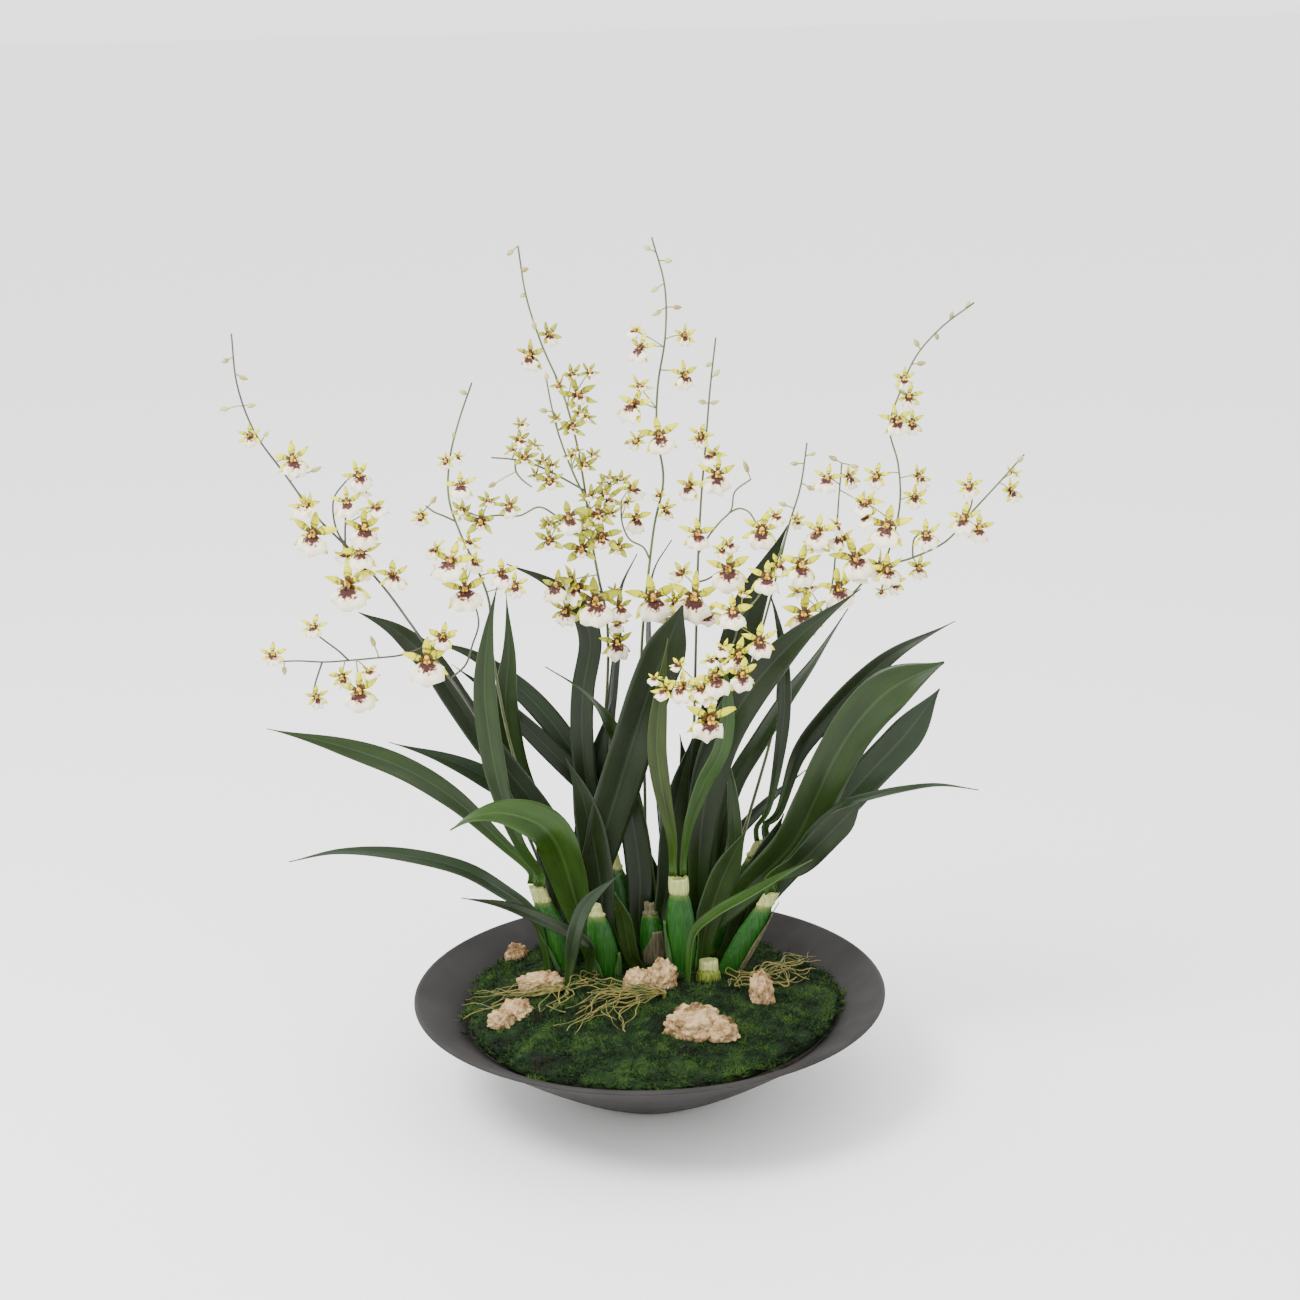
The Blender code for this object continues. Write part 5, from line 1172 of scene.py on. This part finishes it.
def petal_skin(name, settings, colour):
    """Petal: soft and matt, yellow with brown bars across its lower half, paler at the tip."""
    material, tree, shader = new_material(name, Roughness=0.6, IOR=1.4)
    flat = add_node(tree, "UVMap", uv_map="petal").outputs["UV"]
    axes = add_node(tree, "SeparateXYZ", links={"Vector": flat})
    place = add_node(tree, "TexCoord").outputs["Object"]
    # The bars are uneven: cloud noise near 5 mm breaks them up
    cloud = add_node(tree, "TexNoise", {"Scale": 1 / 0.004, "Detail": 2.0}, {"Vector": place})
    shift = add_node(tree, "Math", {1: 0.42}, {0: cloud.outputs["Fac"], 2: axes.outputs["Y"]}, operation="MULTIPLY_ADD")
    bars = add_node(tree, "ValToRGB", links={"Fac": shift.outputs["Value"]},
                    stops=((0.40, (0.95,) * 3), (0.98, (0.0,) * 3), (0.50, (0.9,) * 3), (0.53, (0.1,) * 3), (0.60, (0.1,) * 3),
                           (0.63, (0.75,) * 3), (0.68, (0.6,) * 3), (0.72, (0.0,) * 3), (1.0, (0.0,) * 3)))
    fade = add_node(tree, "ValToRGB", links={"Fac": axes.outputs["Y"]},
                    stops=((0.3, colour), (1.0, tuple(min(c * 1.15 + 0.02, 1.0) for c in colour))))
    mix = add_node(tree, "Mix", data_type="RGBA", blend_type="MIX")
    tree.links.new(bars.outputs["Color"], mix.inputs["Factor"])
    tree.links.new(fade.outputs["Color"], mix.inputs["A"])
    mix.inputs["B"].default_value = (*settings.brown, 1)
    tree.links.new(mix.outputs["Result"], shader.inputs["Base Color"])
    return material


def lip_skin(settings):
    """Lip: cream white and matt, with a dark red blotch at the throat that breaks up into freckles."""
    material, tree, shader = new_material("cream_lip", Roughness=0.6, IOR=1.4)
    flat = add_node(tree, "UVMap", uv_map="petal").outputs["UV"]
    axes = add_node(tree, "SeparateXYZ", links={"Vector": flat})
    place = add_node(tree, "TexCoord").outputs["Object"]
    # Freckles are about 2.5 mm
    cloud = add_node(tree, "TexNoise", {"Scale": 1 / 0.0025, "Detail": 2.0}, {"Vector": place})
    shift = add_node(tree, "Math", {1: 0.75}, {0: cloud.outputs["Fac"], 2: axes.outputs["Y"]}, operation="MULTIPLY_ADD")
    tone = add_node(tree, "ValToRGB", links={"Fac": shift.outputs["Value"]},
                    stops=((0.36, settings.crest), (1.0, settings.white), (0.44, settings.heart), (0.74, settings.heart),
                           (0.81, linear("94604a")), (0.88, linear("e2d2ae")), (0.96, settings.white)))
    tree.links.new(tone.outputs["Color"], shader.inputs["Base Color"])
    return material


def plain_skin(name, colour, other, spot, roughness):
    """Smooth plant skin in two close tones, in patches SPOT metres across."""
    material, tree, shader = new_material(name, Roughness=roughness, IOR=1.4)
    place = add_node(tree, "TexCoord").outputs["Object"]
    patch = add_node(tree, "TexNoise", {"Scale": 1 / spot, "Detail": 2.0}, {"Vector": place})
    tone = add_node(tree, "ValToRGB", links={"Fac": patch.outputs["Fac"]}, stops=((0.38, other), (0.62, colour)))
    tree.links.new(tone.outputs["Color"], shader.inputs["Base Color"])
    return material


def petal_shape(bm, uv, thickness, place_at, across, along, material):
    """A thin closed petal: a grid placed by PLACE_AT(u from -1 to 1, v from 0 to 1), then given its thickness."""
    made = bmesh.ops.create_grid(bm, x_segments=across, y_segments=along, size=1.0)["verts"]
    faces = list({f for vert in made for f in vert.link_faces})
    for face in faces:
        face.material_index = material
        for loop in face.loops:
            loop[uv].uv = ((loop.vert.co.x + 1) / 2, (loop.vert.co.y + 1) / 2)
    for vert in made:
        vert.co = place_at(vert.co.x, (vert.co.y + 1) / 2)
    bmesh.ops.solidify(bm, geom=faces, thickness=thickness)


def bloom_template(number, settings, openness, lip):
    """One bloom, one unit from heart to petal tip: five narrow petals, a broad ruffled lip and a knobbly crest.

    OPENNESS is 1 when the petals lie flat, and LIP is the length of the lip.
    """
    chance = random.Random(200 + number)
    bm = bmesh.new()
    uv = bm.loops.layers.uv.new("petal")
    thickness = settings.petal / (15 * MM)
    for angle in (-128, -68, 0, 68, 128):
        turn = math.radians(angle + chance.uniform(-8, 8))
        reach = (0.92 if angle == 0 else 1.0) * chance.uniform(0.9, 1.03)
        broad = chance.uniform(0.12, 0.165)
        bend = chance.uniform(-0.35, 0.05) + (1 - openness) * 1.1
        curl = chance.uniform(-0.12, 0.12)

        def place_at(u, v):
            width = broad * (0.32 + 0.68 * ramp(v, 0.0, 0.45)) * (1 - ramp(v, 0.62, 1.06)) + 0.012
            out = reach * v * (1 - 0.25 * (1 - openness) * v)
            lift = bend * v * v * 0.5 + 0.05 * abs(u) + 0.06 * math.sin(v * 5 + u + number) * v - 0.02
            x = u * width + curl * v * v
            return Vector((-math.sin(turn) * out + math.cos(turn) * x, math.cos(turn) * out + math.sin(turn) * x, lift))

        petal_shape(bm, uv, thickness, place_at, 2, 5, 0)
    half = math.radians(chance.uniform(56, 68)) * (0.55 + 0.45 * openness)
    ruffle = chance.uniform(0.12, 0.2)
    notch = chance.uniform(0.06, 0.12)

    def lip_at(u, v):
        claw = 0.5 + 0.5 * ramp(v, 0.05, 0.4)
        turn = u * half * claw
        reach = 0.08 + v * lip * (0.92 - notch * math.exp(-(u / 0.2) ** 2) + 0.08 * math.sin(u * 10 + number)) * math.sqrt(1 - 0.55 * u * u)
        lift = 0.16 + 0.30 * v - 0.34 * v * v + ruffle * v * v * math.sin(u * 10 + number * 2) - 0.10 * u * u * v
        return Vector((math.sin(turn) * reach, -math.cos(turn) * reach, lift))

    petal_shape(bm, uv, thickness, lip_at, 10, 4, 1)
    for x, y, z, size in ((0, 0.07, 0.16, 0.10), (-0.07, -0.10, 0.20, 0.075), (0.07, -0.10, 0.20, 0.075), (0, -0.02, 0.05, 0.13)):
        knob = bmesh.ops.create_uvsphere(bm, u_segments=6, v_segments=4, radius=size)["verts"]
        bmesh.ops.translate(bm, vec=(x, y, z), verts=knob)
        for face in {f for vert in knob for f in vert.link_faces}:
            face.material_index = 2
    bmesh.ops.recalc_face_normals(bm, faces=bm.faces)
    return template(f"bloom_{number}", bm)


def bud_template():
    """A plump pointed bud, one unit long and one wide, standing on its stalk."""
    bm = bmesh.new()
    for vert, (level, angle) in sphere_levels(bm, 8, 5).items():
        share = level / 6
        width = 0.5 * math.sin(math.pi * share ** 0.8) ** 0.8 if 0 < share < 1 else 0
        flute = 1 + 0.08 * math.cos(3 * angle)
        vert.co = (math.cos(angle) * width * flute, math.sin(angle) * width * flute, share - 0.5)
    for face in bm.faces:
        face.material_index = 2
    return template("bud", bm)


def curved_stalk(bm, start, stop, sag):
    """A thin flower stalk that leaves the stem upwards and bows to its bloom."""
    middle = start.lerp(stop, 0.5) + Vector((0, 0, sag))
    sleeve(bm, smooth_path([start, middle, stop], 6), lambda s: PEDICEL_RADIUS * (1.0 - 0.15 * s), 5, 1)


def make_spray(name, number, plan, settings, blooms, bud, finishes):
    """The stems of one spray with their stalks and buds, and the blooms they carry."""
    chance = random.Random(number)
    varied = random.Random(300 + number)
    old = name == "spray_far_left"
    young = name == "spray_centre_left"
    stem, branches = spray_lines(plan)
    green = bmesh.new()
    petals = bmesh.new()
    fine = smooth_path(stem, 6 * len(stem))
    sleeve(green, fine, lambda s: STEM_RADIUS + (STEM_TIP_RADIUS - STEM_RADIUS) * s, 10)
    reach = []
    for a, b in zip(stem[4:], stem[5:]):
        reach += [a.lerp(b, k / 4) for k in range(4)]
    reach.append(stem[-1])
    thin = list(fine)
    for branch in branches:
        path = smooth_path([nearest(thin, branch[0])] + branch[1:], 6 * len(branch))
        branch[0] = nearest(reach, branch[0])
        sleeve(green, path, lambda s: BRANCH_RADIUS + (STEM_TIP_RADIUS - BRANCH_RADIUS) * s, 8)
        thin += path
    for branch in branches:
        for a, b in zip(branch, branch[1:]):
            reach += [a.lerp(b, k / 4) for k in range(4)]
        reach.append(branch[-1])
    viewer = Vector((0, -math.cos(VIEW_ELEVATION), math.sin(VIEW_ELEVATION)))
    for across, down, forward, spread in plan["blooms"]:
        rough = nearest(reach, from_view(across, down, plan["stem"][-1][2]))
        root = nearest(reach, from_view(across, down, rough.y / MM))
        centre = from_view(across, down, root.y / MM - forward)
        aside = centre - root
        facing = viewer + aside.normalized() * 0.55 + Vector((chance.uniform(-0.45, 0.45), 0, chance.uniform(-0.35, 0.35)))
        frame_at = bloom_frame(centre, facing)
        fresh = young and down < 575 and varied.random() < 0.75
        shape = blooms[8 + varied.randrange(4) if fresh else varied.randrange(5) if spread > 25 else 5 + varied.randrange(3)]
        half = spread * BLOOM_FULLNESS * MM / 2
        stamp(petals, shape, frame_at @ Matrix.Rotation(varied.uniform(-0.22, 0.22), 4, "Z") @ Matrix.Scale(half, 4))
        curved_stalk(green, nearest(thin, root), frame_at @ Vector((0, 0.02 * half, -0.04 * half)), varied.uniform(0.0, 1.5) * MM)
        for _ in range(3 if fresh else 2 if spread > 37 else 1 if spread > 31 or varied.random() < 0.4 else 0):
            turn = varied.uniform(0.4, 2.8) if varied.random() < 0.7 else varied.uniform(-1, 4)
            offset = Vector((math.cos(turn), 0, math.sin(turn))) * spread * varied.uniform(0.38, 0.60) * MM
            beside = centre + offset + Vector((0, varied.uniform(2.5, 7.0) * MM, 0))
            look = viewer + offset.normalized() * 0.8 + Vector((varied.uniform(-0.5, 0.5), 0, varied.uniform(-0.4, 0.4)))
            side_at = bloom_frame(beside, look)
            small = half * varied.uniform(0.52, 0.74)
            stamp(petals, blooms[8 + varied.randrange(4) if fresh else varied.randrange(11)], side_at @ Matrix.Rotation(varied.uniform(-0.5, 0.5), 4, "Z") @ Matrix.Scale(small, 4))
            curved_stalk(green, nearest(thin, root), side_at @ Vector((0, 0, -0.04 * small)), varied.uniform(0.0, 1.5) * MM)
    for across, down, forward, length in plan["buds"]:
        rough = nearest(reach, from_view(across, down, plan["stem"][-1][2]))
        root = nearest(reach, from_view(across, down, rough.y / MM))
        centre = from_view(across, down, root.y / MM - forward)
        start = nearest(thin, root)
        along = (centre - start).normalized()
        foot = centre - along * length * 0.42 * MM
        curved_stalk(green, start, foot, varied.uniform(0, 0.8) * MM)
        width = min(BUD_WIDTH, length * MM * 0.62)
        stamp(green, bud, towards(centre, centre + along) @ Matrix.Diagonal((width, width, length * MM, 1)))
    piece_of(f"{name}_stems", green, [finishes["dark_stem" if old else "stem"], finishes["stalk"], finishes["bud"]],
             [name])
    piece_of(f"{name}_blooms", petals, [finishes["young_petal" if young else "petal"], finishes["lip"], finishes["crest"]])


class ORCHID_OT_sprays(bpy.types.Operator):
    """Grow the flower sprays: stems, stalks, buds and blooms"""
    bl_idname = "orchid.sprays"
    bl_label = "Flower sprays"

    def execute(self, context):
        settings = context.scene.orchid_sprays
        finishes = {
            "petal": petal_skin("yellow_petal", settings, tuple(settings.yellow)),
            "young_petal": petal_skin("green_yellow_petal", settings, tuple(settings.green_yellow)),
            "lip": lip_skin(settings),
            "crest": plain_skin("waxy_crest", tuple(settings.crest), tuple(settings.heart), 0.004, 0.4),
            "stem": plain_skin("smooth_stem", tuple(settings.stem), linear("434a28"), 0.03, 0.45),
            "dark_stem": plain_skin("old_stem", tuple(settings.dark_stem), linear("3d3b38"), 0.03, 0.45),
            "stalk": plain_skin("young_stalk", tuple(settings.stalk), linear("6d7436"), 0.02, 0.5),
            "bud": plain_skin("waxy_bud", linear("b5b56b"), linear("8d7a4a"), 0.012, 0.45),
        }
        blooms = [bloom_template(number, settings, openness, lip) for number, (openness, lip) in enumerate(BLOOM_SHAPES)]
        bud = bud_template()
        for number, (name, plan) in enumerate(SPRAYS.items()):
            make_spray(name, number, plan, settings, blooms, bud, finishes)
        return {"FINISHED"}


# ---------------------------------------------------------------- stage


class StageSettings(bpy.types.PropertyGroup):
    floor: colour_property("Floor", "Colour of the studio floor", "f7f7f6")
    sky: FloatProperty(name="Room light", description="Strength of the even light of the room", default=2.3, min=0.0, max=5.0)
    key: FloatProperty(name="Main light", description="Power of the main light", default=95.0, min=0.0, max=500.0, unit="POWER")
    fill: FloatProperty(name="Fill light", description="Power of the fill light", default=14.0, min=0.0, max=500.0, unit="POWER")


# Camera: its place, how far it looks down, its turn and its roll, and its lens on a 36 mm wide sensor
CAMERA_PLACE = (0.001, -2.042, 0.997)
CAMERA_PITCH = math.radians(16.57)
CAMERA_TURN = math.radians(0.175)
CAMERA_ROLL = math.radians(-1.36)
CAMERA_LENS = 72.06


def add_light(name, place, target, size, power):
    """A large soft area light that looks at a point."""
    lamp = bpy.data.lights.new(name, "AREA")
    lamp.shape = "DISK"
    lamp.size = size
    lamp.energy = power
    obj = bpy.data.objects.new(name, lamp)
    bpy.context.scene.collection.objects.link(obj)
    turn = (Vector(target) - Vector(place)).to_track_quat("-Z", "Y").to_matrix().to_4x4()
    obj.matrix_world = Matrix.Translation(place) @ turn
    return obj


def add_camera():
    """The camera stands where the photograph was taken from, with the small roll that the photograph has."""
    data = bpy.data.cameras.new("camera")
    data.sensor_width = 36.0
    data.lens = CAMERA_LENS
    data.clip_start = 0.05
    data.clip_end = 40.0
    obj = bpy.data.objects.new("camera", data)
    bpy.context.scene.collection.objects.link(obj)
    turn = (Matrix.Rotation(-CAMERA_TURN, 4, "Z") @ Matrix.Rotation(math.pi / 2 - CAMERA_PITCH, 4, "X")
            @ Matrix.Rotation(CAMERA_ROLL, 4, "Z"))
    obj.matrix_world = Matrix.Translation(CAMERA_PLACE) @ turn
    bpy.context.scene.camera = obj


class ORCHID_OT_stage(bpy.types.Operator):
    """Set the floor, the room light, the lamps and the camera"""
    bl_idname = "orchid.stage"
    bl_label = "Stage"

    def execute(self, context):
        settings = context.scene.orchid_stage
        bm = bmesh.new()
        bmesh.ops.create_grid(bm, x_segments=1, y_segments=1, size=16.0)
        mesh = bpy.data.meshes.new("floor")
        bm.to_mesh(mesh)
        bm.free()
        material, tree, shader = new_material("painted_studio_floor", Roughness=0.6)
        place = add_node(tree, "TexCoord").outputs["Object"]
        # Paint roller texture: 2 mm dimples
        dimples = add_node(tree, "TexNoise", {"Scale": 1 / 0.002}, {"Vector": place})
        shader.inputs["Base Color"].default_value = (*settings.floor, 1)
        add_bump(tree, shader, dimples.outputs["Fac"], 0.05, 0.1 * MM)
        mesh.materials.append(material)
        floor = bpy.data.objects.new("floor", mesh)
        context.scene.collection.objects.link(floor)
        world = bpy.data.worlds.new("room")
        world.use_nodes = True
        sky = world.node_tree.nodes["Background"]
        sky.inputs["Color"].default_value = (1.0, 1.0, 1.0, 1.0)
        sky.inputs["Strength"].default_value = settings.sky
        context.scene.world = world
        add_light("main_light", (-1.3, -0.9, 2.3), (0, 0, 0.3), 1.2, settings.key)
        add_light("fill_light", (1.6, -1.6, 1.4), (0, 0, 0.3), 1.6, settings.fill)
        add_camera()
        return {"FINISHED"}


# ---------------------------------------------------------------- add-on

OPERATORS = (ORCHID_OT_bowl, ORCHID_OT_moss, ORCHID_OT_bark, ORCHID_OT_bulbs, ORCHID_OT_leaves, ORCHID_OT_roots,
             ORCHID_OT_sprays, ORCHID_OT_stage)
SETTINGS = {
    "orchid_bowl": BowlSettings, "orchid_moss": MossSettings, "orchid_bark": BarkSettings, "orchid_bulbs": BulbSettings,
    "orchid_leaves": LeafSettings, "orchid_roots": RootSettings, "orchid_sprays": SpraySettings, "orchid_stage": StageSettings,
}


class ORCHID_PT_panel(bpy.types.Panel):
    """Buttons and settings for each piece of the orchid"""
    bl_idname = "ORCHID_PT_panel"
    bl_label = "Oncidium Orchid Bowl"
    bl_space_type = "VIEW_3D"
    bl_region_type = "UI"
    bl_category = "Orchid"

    def draw(self, context):
        for operator, group in zip(OPERATORS, SETTINGS):
            box = self.layout.box()
            box.operator(operator.bl_idname)
            values = getattr(context.scene, group)
            for key in values.bl_rna.properties.keys():
                if key not in ("rna_type", "name"):
                    box.prop(values, key)


def register():
    for group, settings in SETTINGS.items():
        bpy.utils.register_class(settings)
        setattr(bpy.types.Scene, group, PointerProperty(type=settings))
    for operator in OPERATORS:
        bpy.utils.register_class(operator)
    bpy.utils.register_class(ORCHID_PT_panel)


def unregister():
    bpy.utils.unregister_class(ORCHID_PT_panel)
    for operator in reversed(OPERATORS):
        bpy.utils.unregister_class(operator)
    for group, settings in reversed(SETTINGS.items()):
        delattr(bpy.types.Scene, group)
        bpy.utils.unregister_class(settings)


def main():
    register()
    bpy.ops.orchid.bowl()
    bpy.ops.orchid.moss()
    bpy.ops.orchid.bark()
    bpy.ops.orchid.bulbs()
    bpy.ops.orchid.leaves()
    bpy.ops.orchid.roots()
    bpy.ops.orchid.sprays()
    bpy.ops.orchid.stage()


if __name__ == "__main__":
    main()
